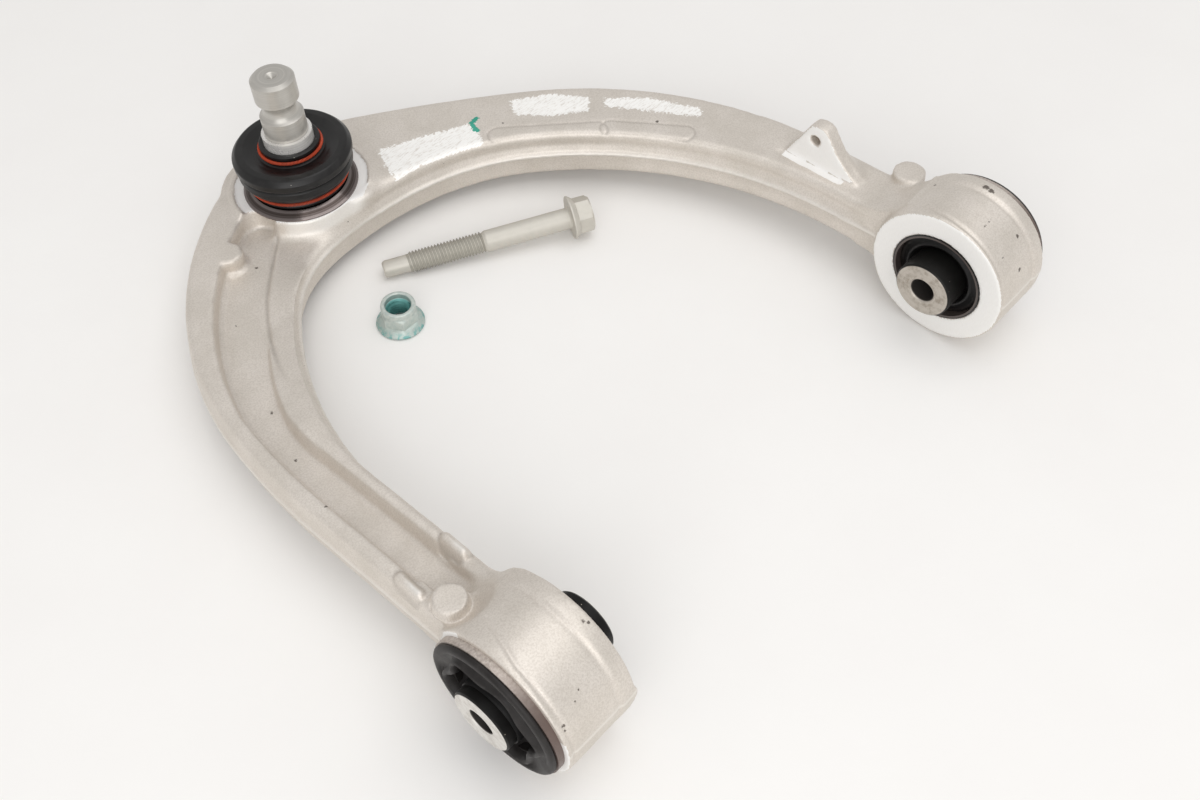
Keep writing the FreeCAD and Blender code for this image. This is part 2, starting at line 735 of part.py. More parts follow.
def add_bracket(body):
    """Sensor bracket on the rear leg: a milled tab with a threaded hole, a sloping back and a shelf."""
    face = bush_spacing - tab_offset
    back = face + tab_thickness
    centre = tab_reach
    outline = [
        (centre + 20.0, 0),
        (centre + 15.5, beam_top),
        (centre + 3.3, tab_top - 1.5),
        (centre + 0.3, tab_top, 3.0),
        (centre - 6.0, tab_top - 1.1, 8.0),
        (centre - 12.3, tab_top - 10.4),
        (centre - 25.0, beam_top, -40.0),
        (centre - 27.0, 0),
    ]
    tab = new_sketch(body, "tab_face", "YZ_Plane", face)
    draw_outline(tab, outline)
    pad(body, tab, "tab", tab_thickness)
    front = new_sketch(body, "tab_back_front", "YZ_Plane", back - overlap)
    draw_outline(front, [corner[:2] for corner in outline])
    foot = new_sketch(body, "tab_back_foot", "YZ_Plane", bush_spacing + rear_leg_outer - tab_back_edge)
    low = beam_top - overlap
    draw_outline(foot, [
        (centre + 20.0, 0),
        (centre + 15.5, low - 1.0),
        (centre + 3.3, low),
        (centre + 0.3, low),
        (centre - 6.0, low),
        (centre - 12.3, low),
        (centre - 25.0, low - 1.0),
        (centre - 27.0, 0),
    ])
    loft(body, "tab_back", front, foot)
    hole = new_sketch(body, "tab_hole_round", "YZ_Plane", face)
    draw_circle(hole, centre, tab_hole_height, tab_hole_radius)
    document.recompute()
    pocket(body, hole, "tab_hole", tab_thickness * 2, symmetric=True)
    shelf = new_sketch(body, "tab_shelf_outline", "XY_Plane", beam_top - shelf_depth)
    end = centre + 15.5
    draw_outline(shelf, [
        (face, centre - 17.0),
        (face, end),
        (face - shelf_width / 2, end + shelf_width / 2, shelf_width / 2),
        (face - shelf_width, end, shelf_width / 2),
        (face - shelf_width, centre - 17.0),
    ])
    pocket(body, shelf, "tab_shelf", beam_top, reversed_side=True)


def cut_bores(body):
    """Bush bores through both eyes, the seat ring and the bore for the ball joint's cartridge."""
    bores = new_sketch(body, "bush_bore_round", "YZ_Plane")
    draw_circle(bores, 0, 0, bush_radius + press_gap)
    pocket(body, bores, "bush_bores", (bush_spacing + eye_width) * 3, symmetric=True)
    seat = new_sketch(body, "seat_round", "XY_Plane", boss_top - seat_depth)
    draw_circle(seat, joint_side, joint_reach, seat_radius)
    pocket(body, seat, "seat_face", boss_top, reversed_side=True)
    bore = new_sketch(body, "cartridge_bore_round", "XY_Plane")
    draw_circle(bore, joint_side, joint_reach, cartridge_radius + press_gap)
    pocket(body, bore, "cartridge_bore", (boss_top + beam_bottom) * 4, symmetric=True)


# ---------------------------------------------------------------- ball joint

def make_ball_joint():
    """Cartridge, seats, cap, rings, stud, collar and boot, all about the stud's axis."""
    equator = ball_height
    inner_ball = ball_radius + running_gap
    seat_outer = cartridge_radius - seat_wall - press_gap
    cap_floor = crimp_height - joint_depth
    cap_ceiling = cap_floor + cap_thickness
    preload_top = cap_ceiling + preload_height
    opening = seat_opening
    lip_radius = inner_ball * sine(opening)
    lip_height = equator + inner_ball * cosine(opening)
    seat_top = lip_height + seat_lip
    seat_face = boss_top - seat_depth
    cone_foot = seat_face + shoulder_height
    cuff_foot = cone_foot + cone_height
    neck_top = cuff_foot + cuff_height
    mouth_radius = stud_clearance(neck_top - equator) + mouth_gap
    throat_radius = stud_clearance(seat_top - equator) + throat_gap
    cuff_radius = mouth_radius + mouth_wall
    ring_top = -beam_bottom - press_gap
    ring_foot = ring_top - ring_height
    groove_radius = cartridge_radius - ring_reach / 2

    turned("joint_housing", [
        (joint_bottom_radius - 4.0, -joint_depth),
        (joint_bottom_radius, -joint_depth),
        (cartridge_radius, ring_foot - press_gap, 3.0),
        (groove_radius, ring_foot - press_gap),
        (groove_radius, ring_top + press_gap),
        (cartridge_radius, ring_top + press_gap),
        (cartridge_radius, seat_face + press_gap),
        (shoulder_radius, seat_face + press_gap),
        (shoulder_radius, cone_foot),
        (boot_cuff_radius + cone_land, cuff_foot),
        (cuff_radius, cuff_foot),
        (cuff_radius, neck_top),
        (mouth_radius, neck_top),
        (throat_radius, seat_top + press_gap),
        (seat_outer + press_gap, seat_top + press_gap),
        (seat_outer + press_gap, cap_ceiling + press_gap),
        (cap_radius + press_gap, cap_ceiling + press_gap),
        (cap_radius + press_gap, cap_floor),
        (joint_bottom_radius - 4.0, cap_floor),
    ])
    turned("ball_seat_upper", [
        (seat_outer, equator),
        (seat_outer, seat_top),
        (throat_radius, seat_top),
        (lip_radius, lip_height),
        (inner_ball, equator, -inner_ball),
    ])
    foot_radius = root(inner_ball * inner_ball - (equator - preload_top) * (equator - preload_top))
    turned("ball_seat_lower", [
        (foot_radius, preload_top, -inner_ball),
        (seat_outer, preload_top),
        (seat_outer, equator - press_gap),
        (root(inner_ball * inner_ball - press_gap * press_gap), equator - press_gap),
    ])
    turned("seat_preload_ring", [
        (seat_outer - seat_wall, cap_ceiling),
        (seat_outer - press_gap, cap_ceiling),
        (seat_outer - press_gap, preload_top),
        (seat_outer - seat_wall, preload_top),
    ])
    turned("closing_cap", [
        (0, cap_floor),
        (cap_radius, cap_floor),
        (cap_radius, cap_ceiling),
        (0, cap_ceiling),
    ])
    turned("retaining_ring", [
        (groove_radius, ring_foot),
        (cartridge_radius + ring_reach, ring_foot),
        (cartridge_radius + ring_reach, ring_top),
        (groove_radius, ring_top),
    ])
    make_stud(equator)
    collar_bore = stud_radius - collar_seat_depth + running_gap
    turned("stud_collar", [
        (collar_bore, collar_bottom),
        (collar_radius, collar_bottom),
        (collar_radius, collar_top - running_gap),
        (collar_bore, collar_top - running_gap),
    ])
    make_boot(cuff_radius, cuff_foot)


def stud_clearance(height):
    """Radius that the stud's neck sweeps, at a height above the ball's centre."""
    return height * tangent(tilt_room) + neck_radius_stud / cosine(tilt_room)


def make_stud(equator):
    flat = ball_radius * 0.3
    neck_rise = root(ball_radius * ball_radius - neck_radius_stud * neck_radius_stud)
    flat_drop = root(ball_radius * ball_radius - flat * flat)
    head_start = shank_end + waist_length
    collar_seat = stud_radius - collar_seat_depth
    turned("ball_stud", [
        (0, equator - flat_drop),
        (flat, equator - flat_drop),
        (neck_radius_stud, equator + neck_rise, ball_radius),
        (neck_radius_stud, equator + taper_start),
        (collar_seat, taper_end),
        (collar_seat, collar_top),
        (stud_radius, collar_top),
        (stud_radius, shank_end),
        (stud_radius, head_start, -waist_radius),
        (stud_radius, head_end - head_chamfer),
        (stud_radius - head_chamfer, head_end),
        (dimple_radius, head_end),
        (0, head_end - dimple_depth),
    ])


def make_boot(cuff_radius, cuff_foot):
    """Dust boot: cuff, fold, dome and lip, one wall thick, with its two coil rings."""
    lip_bore = collar_radius + boot_gap
    wall = boot_wall
    cuff_bore = cuff_radius + press_gap
    groove = boot_lip_radius - 0.5
    turned("dust_boot", [
        (cuff_bore, cuff_foot + 0.3),
        (boot_cuff_radius, cuff_foot + 0.3),
        (boot_cuff_radius, cuff_foot + cuff_height),
        (boot_fold_radius, boot_fold_height, fold_under_radius),
        (crease_radius, crease_height, fold_round_radius),
        (boot_dome_radius, dome_edge_height),
        (boot_dome_radius - 2.0, boot_dome_height, dome_round_radius),
        (boot_valley_radius + 2.0, boot_valley, -dome_top_radius),
        (boot_valley_radius, boot_valley),
        (groove, boot_valley + 0.6),
        (groove, boot_lip_top - 2.0),
        (boot_lip_radius, boot_lip_top - 1.6),
        (boot_lip_radius, boot_lip_top),
        (lip_bore, boot_lip_top),
        (lip_bore, boot_valley - wall),
        (boot_valley_radius + 2.0, boot_valley - wall),
        (boot_dome_radius - 2.0 - wall, boot_dome_height - wall, dome_top_radius),
        (boot_dome_radius - wall, dome_edge_height),
        (crease_radius - wall, crease_height),
        (boot_fold_radius - wall, boot_fold_height),
        (cuff_bore, boot_fold_height - wall),
    ])
    wire_ring("boot_upper_ring", groove + wire_radius + press_gap, upper_ring_height)
    wire_ring("boot_lower_ring", boot_cuff_radius + wire_radius + press_gap, lower_ring_height)


# ---------------------------------------------------------------- bushes

def bush_piece(name, middle, corners, outward):
    """A round bush piece: outline (distance outwards from the eye's middle, radius[, arc])."""
    body = new_body(name)
    sketch = new_sketch(body, f"{name}_profile", "XY_Plane")
    draw_outline(sketch, [
        (corner[0] * outward + middle, corner[1], *[arc * outward for arc in corner[2:]])
        for corner in corners])
    revolve(body, sketch, f"{name}_turn", "H_Axis")
    return body


def make_bush(end, middle, outward):
    """Outer sleeve with its flange, rubber with a lobed ring outside, and the thick core."""
    half = eye_width / 2
    sleeve_bore = bush_radius - sleeve_wall
    face = half + sleeve_flange_thickness
    bush_piece(f"{end}_bush_sleeve", middle, [
        (-half, sleeve_bore),
        (-half, bush_radius),
        (half + press_gap, bush_radius),
        (half + press_gap, sleeve_flange_radius),
        (face, sleeve_flange_radius),
        (face, sleeve_bore),
    ], outward)
    front = face + rubber_ring_height
    rubber = bush_piece(f"{end}_bush_rubber", middle, [
        (rubber_recess - half, core_radius + running_gap),
        (rubber_recess - half, sleeve_bore - press_gap),
        (face + press_gap, sleeve_bore - press_gap),
        (face + press_gap, rubber_ring_radius),
        (face + rubber_edge_height, rubber_ring_radius),
        (front, rubber_crest_radius, rubber_slope_radius),
        (front - crest_drop, rubber_ring_bore),
        (front - crest_drop, core_radius + running_gap),
    ], outward)
    document.recompute()
    add_hollows(rubber, end, middle, outward, front - crest_drop)
    core = bush_piece(f"{end}_bush_core", middle, [
        (-core_half_length, core_bore_radius + core_chamfer),
        (-core_half_length, core_radius - core_chamfer),
        (core_chamfer - core_half_length, core_radius),
        (core_half_length - core_chamfer, core_radius),
        (core_half_length, core_radius - core_chamfer),
        (core_half_length, core_bore_radius + core_chamfer),
        (core_half_length - core_chamfer, core_bore_radius),
        (core_chamfer - core_half_length, core_bore_radius),
    ], outward)
    return core


def add_hollows(rubber, end, middle, outward, level):
    """Outer side of the rubber: scallops inside its crest, and two kidney voids by the core."""
    scallop = new_sketch(
        rubber, f"{end}_scallop_round", "YZ_Plane", middle + outward * (level - scallop_depth))
    draw_circle(scallop, scallop_reach * cosine(scallop_turn),
                scallop_reach * sine(scallop_turn), scallop_radius)
    cut = pocket(rubber, scallop, f"{end}_scallop", rubber_ring_height * 2,
                 reversed_side=outward > 0)
    ring = rubber.newObject("PartDesign::PolarPattern", f"{end}_scallops")
    ring.Originals = [cut]
    ring.Axis = (axis_of(rubber, "X_Axis"), [""])
    ring.Angle = 360
    ring.Occurrences = scallop_count
    rubber.Tip = ring
    document.recompute()

    near = core_radius + void_wall
    far = near + void_width
    for name, side in (("upper", 1), ("lower", -1)):
        start, stop = void_turn - void_angle, void_turn + void_angle
        void = new_sketch(
            rubber, f"{end}_{name}_void", "YZ_Plane", middle + outward * (level - void_depth))
        draw_outline(void, [
            (near * cosine(start) * side, near * sine(start) * side, -near),
            (far * cosine(start) * side, far * sine(start) * side),
            (far * cosine(stop) * side, far * sine(stop) * side, far),
            (near * cosine(stop) * side, near * sine(stop) * side),
        ])
        pocket(rubber, void, f"{end}_{name}_void_cut", void_depth + rubber_ring_height,
               reversed_side=outward > 0)


def axis_of(body, role):
    return [item for item in body.Origin.OriginFeatures if item.Role == role][0]


# ---------------------------------------------------------------- loose fasteners

def hexagon(sketch, width):
    """Regular hexagon across flats, one corner on each side of the sketch's own x axis."""
    reach = width / (2 * math.cos(math.radians(30)))
    corners = []
    for step in range(6):
        angle = math.radians(60 * step)
        corners.append((reach * round(math.cos(angle), 9), reach * round(math.sin(angle), 9)))
    draw_outline(sketch, corners)


def make_bolt():
    """Flange bolt with a pilot tip; drawn from under its flange, shank along its own +z."""
    body = new_body("pinch_bolt")
    shape = new_sketch(body, "bolt_profile", "XZ_Plane")
    thread_end = bolt_shank + bolt_thread
    tip = thread_end + bolt_pilot
    draw_outline(shape, [
        (0, -bolt_cone_height),
        (hex_width / 2, -bolt_cone_height),
        (bolt_flange_radius, -bolt_flange_edge),
        (bolt_flange_radius, 0),
        (bolt_radius, 0),
        (bolt_radius, thread_end - bolt_chamfer),
        (bolt_pilot_radius, thread_end),
        (bolt_pilot_radius, tip - bolt_chamfer),
        (bolt_pilot_radius - bolt_chamfer, tip),
        (0, tip),
    ])
    revolve(body, shape, "bolt_turn", "V_Axis")
    head = new_sketch(body, "bolt_hex", "XY_Plane")
    hexagon(head, hex_width)
    pad(body, head, "bolt_head", bolt_head_height, reversed_side=True)
    slope = arc_sine((bolt_flange_radius - bolt_radius) / thread_end)
    aim = Rotation(Vector(0, 0, 1), bolt_heading.value).multiply(
        Rotation(Vector(0, 1, 0), 90 + slope.value))
    body.Placement = Placement(Vector(), aim)
    bind(body, "Placement.Base.x", joint_side + bolt_side)
    bind(body, "Placement.Base.y", joint_reach - bolt_back)
    bind(body, "Placement.Base.z", bolt_flange_radius * cosine(slope) - eye_radius)


def make_nut():
    """Flange nut with a round collar; it stands on its flange."""
    body = new_body("pinch_nut")
    shape = new_sketch(body, "nut_profile", "XZ_Plane")
    draw_outline(shape, [
        (nut_hole_radius, 0),
        (nut_flange_radius, 0),
        (nut_flange_radius, nut_flange_edge),
        (hex_width / 2, nut_cone_height),
        (nut_collar_radius - nut_collar_edge, nut_hex_top),
        (nut_collar_radius, nut_height - nut_collar_edge),
        (nut_collar_radius - nut_collar_edge, nut_height),
        (nut_recess_radius, nut_height),
        (nut_recess_radius, nut_height - nut_recess_depth),
        (nut_hole_radius, nut_height - nut_recess_depth),
    ])
    revolve(body, shape, "nut_turn", "V_Axis")
    head = new_sketch(body, "nut_hex", "XY_Plane")
    hexagon(head, hex_width)
    pad(body, head, "nut_body", nut_hex_top)
    hole = new_sketch(body, "nut_hole_round", "XY_Plane")
    draw_circle(hole, 0, 0, nut_hole_radius)
    document.recompute()
    pocket(body, hole, "nut_hole", nut_height * 3, symmetric=True)
    bind(body, "Placement.Base.x", joint_side - nut_side)
    bind(body, "Placement.Base.y", joint_reach - nut_back)
    bind(body, "Placement.Base.z", -eye_radius)


# ---------------------------------------------------------------- build and write

NODES = [
    "arm_forging",
    "front_bush_sleeve", "front_bush_rubber", "front_bush_core",
    "rear_bush_sleeve", "rear_bush_rubber", "rear_bush_core",
    "joint_housing", "ball_seat_upper", "ball_seat_lower", "seat_preload_ring",
    "closing_cap", "retaining_ring", "ball_stud", "stud_collar", "dust_boot",
    "boot_upper_ring", "boot_lower_ring",
    "pinch_bolt", "pinch_nut",
]

make_arm_forging()
make_ball_joint()
make_bush("front", 0, -1)
make_bush("rear", bush_spacing, 1)
make_bolt()
make_nut()
document.recompute()

for item in document.Objects:
    if "Invalid" in item.State or "Error" in item.State:
        raise ValueError(f"{item.Label} has failed")

os.makedirs("parts", exist_ok=True)
for node in NODES:
    shape = document.getObjectsByLabel(node)[0].Shape
    if shape.isNull() or not shape.isValid():
        raise ValueError(f"{node} has no valid shape")
    shape.exportStep(f"parts/{node}.step")
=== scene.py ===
import json
import math

import bpy
import numpy as np
from mathutils import Matrix, Vector, noise


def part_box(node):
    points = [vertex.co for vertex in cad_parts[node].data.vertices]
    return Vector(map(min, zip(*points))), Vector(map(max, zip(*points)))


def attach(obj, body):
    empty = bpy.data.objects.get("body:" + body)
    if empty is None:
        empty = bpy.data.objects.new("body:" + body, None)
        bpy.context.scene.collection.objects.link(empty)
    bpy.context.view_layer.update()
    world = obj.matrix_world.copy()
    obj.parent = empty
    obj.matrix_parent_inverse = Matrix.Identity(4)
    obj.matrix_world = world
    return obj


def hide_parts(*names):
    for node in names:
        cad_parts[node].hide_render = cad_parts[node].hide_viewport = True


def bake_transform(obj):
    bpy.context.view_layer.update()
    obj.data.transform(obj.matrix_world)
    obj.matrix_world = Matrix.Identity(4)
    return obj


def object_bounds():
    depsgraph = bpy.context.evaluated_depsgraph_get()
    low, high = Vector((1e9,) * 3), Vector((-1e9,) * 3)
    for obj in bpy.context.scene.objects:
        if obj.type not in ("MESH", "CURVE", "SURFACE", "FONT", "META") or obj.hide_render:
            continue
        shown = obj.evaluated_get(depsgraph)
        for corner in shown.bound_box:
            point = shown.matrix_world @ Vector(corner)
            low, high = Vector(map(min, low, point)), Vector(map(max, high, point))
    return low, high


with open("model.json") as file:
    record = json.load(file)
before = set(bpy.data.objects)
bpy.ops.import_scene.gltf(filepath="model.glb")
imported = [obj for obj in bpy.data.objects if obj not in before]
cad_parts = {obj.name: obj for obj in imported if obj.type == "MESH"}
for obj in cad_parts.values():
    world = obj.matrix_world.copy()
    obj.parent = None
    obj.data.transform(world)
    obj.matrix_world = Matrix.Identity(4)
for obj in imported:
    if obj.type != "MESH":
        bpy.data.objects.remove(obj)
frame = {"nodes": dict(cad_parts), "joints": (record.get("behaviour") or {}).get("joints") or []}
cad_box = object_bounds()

# ---------------------------------------------------------------- places taken from the frame

MM = 0.001
TURN = 2 * math.pi

joints = {joint["name"]: joint for joint in frame["joints"]}
ball_centre = Vector(joints["stud_turn"]["pos_m"])
stud_axis = Vector(joints["stud_turn"]["axis"]).normalized()
rear_eye_x = joints["rear_bush_twist"]["pos_m"][0] / MM
table_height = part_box("pinch_nut")[0][2]
BALL_HEIGHT = 2.0

# The arm's own plane leans about the pivot axis; x, v and w are distances in it, in millimetres
lean = math.atan2(stud_axis.y, stud_axis.z)
arm_frame = Matrix.Rotation(-lean, 4, "X")
stud_frame = Matrix.Translation(ball_centre - stud_axis * BALL_HEIGHT * MM) @ arm_frame
ball_place = arm_frame.inverted() @ ball_centre
joint_x, joint_v = ball_place.x / MM, ball_place.y / MM


# ---------------------------------------------------------------- mesh helpers

def add_object(name, data):
    """A new object in the scene, for a mesh, lamp or camera."""
    made = bpy.data.objects.new(name, data)
    bpy.context.scene.collection.objects.link(made)
    return made


def add_mesh(name, points, faces, matrix=Matrix.Identity(4), crease=35):
    """A new smooth mesh object; points are in millimetres in the given frame."""
    mesh = bpy.data.meshes.new(name)
    mesh.from_pydata([matrix @ (Vector(point) * MM) for point in points], [], faces)
    mesh.validate()
    mesh.shade_smooth()
    mesh.set_sharp_from_angle(angle=math.radians(crease))
    return add_object(name, mesh)


def round_corners(corners, steps=5):
    """Outline with a rounded corner wherever a corner has a third number, its radius."""
    outline = []
    count = len(corners)
    for place, corner in enumerate(corners):
        point = Vector(corner[:2])
        radius = corner[2] if len(corner) > 2 else 0
        if not radius:
            outline.append(tuple(point))
            continue
        before = (Vector(corners[place - 1][:2]) - point).normalized()
        after = (Vector(corners[(place + 1) % count][:2]) - point).normalized()
        half = before.angle(after) / 2
        setback = radius / math.tan(half)
        start, end = point + before * setback, point + after * setback
        for step in range(steps + 1):
            share = step / steps
            bend = start.lerp(point, share).lerp(point.lerp(end, share), share)
            outline.append(tuple(bend))
    return outline


def ring_faces(steps, size):
    """Quads that join each outline of a closed ring to the next one."""
    faces = []
    for step in range(steps):
        here, there = step * size, (step + 1) % steps * size
        for place in range(size):
            after = (place + 1) % size
            faces.append((here + place, here + after, there + after, there + place))
    return faces


def hex_reach(angle):
    """Distance from the middle of the hexagon to its side, in the given direction."""
    turn = angle % math.radians(60) - math.radians(30)
    return HEX_WIDTH / 2 / math.cos(turn)


def lathe(name, outline, matrix, steps=160, crease=35):
    """Closed outline (radius, height) turned about z; a third value puts a point on the hexagon."""
    points = []
    for step in range(steps):
        angle = TURN * step / steps
        for radius, height, *hexed in outline:
            if hexed:
                radius = min(radius, hex_reach(angle))
            points.append((radius * math.cos(angle), radius * math.sin(angle), height))
    faces = [(a, d, c, b) for a, b, c, d in ring_faces(steps, len(outline))]
    return add_mesh(name, points, faces, matrix, crease)


def coil_ring(name, radius, height, reach, wire, coils):
    """A garter ring: wire wound in coils of the given reach round a circle about the stud."""
    per_coil, sides = 8, 5
    count = coils * per_coil
    path = []
    for step in range(count):
        around = TURN * step / count
        twist = TURN * step / per_coil
        away = radius + reach * math.cos(twist)
        path.append(Vector((away * math.cos(around), away * math.sin(around),
                            height + reach * math.sin(twist))))
    points = []
    side = None
    for place, point in enumerate(path):
        along = (path[(place + 1) % count] - path[place - 1]).normalized()
        if side is None:
            side = along.orthogonal().normalized()
        side = (side - along * side.dot(along)).normalized()
        across = along.cross(side)
        for step in range(sides):
            angle = TURN * step / sides
            points.append(point + (side * math.cos(angle) + across * math.sin(angle)) * wire)
    return add_mesh(name, points, ring_faces(count, sides), stud_frame)


# ---------------------------------------------------------------- material helpers

class Paint:
    """Builds one node material; sockets take a number, a colour or another node's output."""

    def __init__(self, name, **settings):
        self.material = bpy.data.materials.new(name)
        self.material.use_nodes = True
        self.tree = self.material.node_tree
        self.shader = self.tree.nodes["Principled BSDF"]
        coordinates = self.tree.nodes.new("ShaderNodeTexCoord")
        self.place = coordinates.outputs["Object"]
        self.finish(**settings)

    def feed(self, socket, value):
        if isinstance(value, bpy.types.NodeSocket):
            self.tree.links.new(value, socket)
        elif value is not None:
            socket.default_value = value

    def node(self, kind, output, settings=None, **inputs):
        made = self.tree.nodes.new(kind)
        for key, value in (settings or {}).items():
            setattr(made, key, value)
        for key, value in inputs.items():
            name = key.replace("_", " ")
            socket = made.inputs[int(key[1:])] if key[1:].isdigit() else made.inputs[name]
            self.feed(socket, value)
        return made.outputs[output]

    def noise(self, size, detail=3.0, rough=0.55, place=None, stretch=None):
        """Noise whose lumps are about size millimetres wide."""
        place = place or self.place
        if stretch:
            place = self.node("ShaderNodeMapping", "Vector", Vector=place, Scale=stretch)
        return self.node("ShaderNodeTexNoise", "Fac", Vector=place, Scale=1 / (size * MM),
                         Detail=detail, Roughness=rough)

    def span(self, value, low, high, to_low=0.0, to_high=1.0):
        return self.node("ShaderNodeMapRange", "Result", {"interpolation_type": "SMOOTHSTEP"},
                         Value=value, From_Min=low, From_Max=high, To_Min=to_low, To_Max=to_high)

    def math(self, kind, first, second):
        return self.node("ShaderNodeMath", "Value", {"operation": kind}, i0=first, i1=second)

    def mix(self, share, first, second):
        made = self.tree.nodes.new("ShaderNodeMix")
        made.data_type = "RGBA"
        self.feed(made.inputs["Factor"], share)
        self.feed(made.inputs[6], first)
        self.feed(made.inputs[7], second)
        return made.outputs[2]

    def specks(self, spacing, share, size=0.18):
        """Sparse round specks, one chance in each cell of spacing millimetres."""
        cells = self.tree.nodes.new("ShaderNodeTexVoronoi")
        cells.inputs["Scale"].default_value = 1 / (spacing * MM)
        self.tree.links.new(self.place, cells.inputs["Vector"])
        near = self.span(cells.outputs["Distance"], size, size * 0.6)
        chosen = self.node("ShaderNodeSeparateColor", "Red", Color=cells.outputs["Color"])
        return self.math("MULTIPLY", near, self.math("LESS_THAN", chosen, share))

    def mask(self, name):
        """A number that the mesh holds for each of its points."""
        return self.node("ShaderNodeAttribute", "Fac", {"attribute_name": name})

    def from_axis(self, centre, axis):
        """Distance from a line, and distance along it, in metres."""
        offset = self.node("ShaderNodeVectorMath", "Vector", {"operation": "SUBTRACT"},
                           i0=self.place, i1=tuple(centre))
        across = self.node("ShaderNodeVectorMath", "Vector", {"operation": "CROSS_PRODUCT"},
                           i0=offset, i1=tuple(axis))
        away = self.node("ShaderNodeVectorMath", "Value", {"operation": "LENGTH"}, i0=across)
        along = self.node("ShaderNodeVectorMath", "Value", {"operation": "DOT_PRODUCT"},
                          i0=offset, i1=tuple(axis))
        return away, along

    def turning(self, centre, axis, size):
        """Fine rings about a line, as a lathe leaves them, about size millimetres wide."""
        away, along = self.from_axis(centre, axis)
        place = self.node("ShaderNodeCombineXYZ", "Vector", X=away, Y=along)
        return self.noise(size, detail=3.0, rough=0.7, place=place)

    def bump(self, height, depth, strength=1.0, before=None):
        """Bump of the given depth in millimetres; returns the normal."""
        return self.node("ShaderNodeBump", "Normal", Height=height, Distance=depth * MM,
                         Strength=strength, Normal=before)

    def finish(self, **settings):
        """Feeds the shader's sockets and returns the material."""
        for socket, value in settings.items():
            self.feed(self.shader.inputs[socket.replace("_", " ")], value)
        return self.material


def colour(red, green, blue):
    """Linear colour from values as they are seen, 0 to 255."""
    return tuple(((value / 255 + 0.055) / 1.055) ** 2.4 if value > 10 else value / 3295
                 for value in (red, green, blue)) + (1.0,)


# ---------------------------------------------------------------- camera, floor, light

# Where the photograph was taken from, in millimetres and degrees
CAMERA_PLACE = (-135.3, -151.6, 426.33)
CAMERA_HEADING, CAMERA_DIVE, CAMERA_ROLL = 42.08, 53.27, 0.31
CAMERA_LENS = 40.17
# The floor, the lamps' aim and the room's light, in metres
FLOOR_HALF, FLOOR_DROP = 4.0, 0.0002
ARM_MIDDLE = (0.13, 0.12, 0.0)
ROOM_COLOUR, ROOM_STRENGTH = (0.98, 0.97, 0.96, 1.0), 0.62


def make_camera():
    """The photograph's view: place, heading and dive of the camera, and its slight roll."""
    heading, dive, roll = (math.radians(angle)
                           for angle in (CAMERA_HEADING, CAMERA_DIVE, CAMERA_ROLL))
    forward = Vector((math.cos(dive) * math.cos(heading), math.cos(dive) * math.sin(heading),
                      -math.sin(dive)))
    right = forward.cross(Vector((0, 0, 1))).normalized()
    up = right.cross(forward)
    tilted_right = right * math.cos(roll) + up * math.sin(roll)
    tilted_up = up * math.cos(roll) - right * math.sin(roll)
    turn = Matrix((tilted_right, tilted_up, -forward)).transposed()
    data = bpy.data.cameras.new("camera")
    data.sensor_width = 36.0
    data.lens = CAMERA_LENS
    data.clip_start = 0.01
    camera = add_object("camera", data)
    camera.matrix_world = Matrix.Translation(Vector(CAMERA_PLACE) * MM) @ turn.to_4x4()
    bpy.context.scene.camera = camera


def make_floor():
    """Pale board with a faint foam texture; it keeps the object's shadow."""
    mesh = bpy.data.meshes.new("floor")
    mesh.from_pydata([(x * FLOOR_HALF, y * FLOOR_HALF, table_height - FLOOR_DROP)
                      for x, y in ((-1, -1), (1, -1), (1, 1), (-1, 1))], [], [(0, 1, 2, 3)])
    floor = add_object("floor", mesh)
    paint = Paint("pale_board")
    rays = paint.tree.nodes.new("ShaderNodeLightPath")
    seen = paint.math("MAXIMUM", rays.outputs["Is Camera Ray"], rays.outputs["Is Glossy Ray"])
    seen = paint.math("MAXIMUM", seen, rays.outputs["Is Transmission Ray"])
    board = paint.mix(paint.noise(60.0), colour(247, 246, 244), colour(243, 241, 239))
    tone = paint.mix(seen, colour(226, 224, 220), board)
    cells = paint.noise(5.0, detail=2.0)
    floor.data.materials.append(paint.finish(
        Base_Color=tone, Roughness=0.75, Specular_IOR_Level=0.15,
        Normal=paint.bump(cells, 0.12, 0.5)))


def add_lamp(name, place, power, width, height):
    """A soft oblong lamp, in metres and watts, aimed at the middle of the arm."""
    data = bpy.data.lights.new(name, "AREA")
    data.shape = "RECTANGLE"
    data.size = width
    data.size_y = height
    data.energy = power
    lamp = add_object(name, data)
    lamp.location = place
    lamp.rotation_euler = (Vector(ARM_MIDDLE) - Vector(place)).to_track_quat("-Z", "Y").to_euler()


def make_light():
    """A large soft lamp overhead, a weaker one at the camera's left and a bright room."""
    add_lamp("key", (0.34, -0.12, 1.5), 6.9, 1.3, 1.3)
    add_lamp("fill", (-0.85, -0.75, 0.8), 9.5, 1.5, 1.1)
    world = bpy.data.worlds.new("room")
    bpy.context.scene.world = world
    world.use_nodes = True
    background = world.node_tree.nodes["Background"]
    background.inputs["Color"].default_value = ROOM_COLOUR
    background.inputs["Strength"].default_value = ROOM_STRENGTH


# ---------------------------------------------------------------- materials

PIVOT = (0, 0, 0), (1, 0, 0)
# Distances from the pivot axis where a bush's finish changes, in millimetres; within CORE_BORE the
# core's bore is painted dark as shade
CORE_BORE, CORE_BARE = 5.5, 12.35
SLEEVE_LIP, SLEEVE_BARE = 20.6, 21.3


def scaled(tone, share):
    """A tone with its channels scaled, and no brighter than white."""
    return tuple(min(channel * share, 1.0) for channel in tone[:3]) + (1.0,)


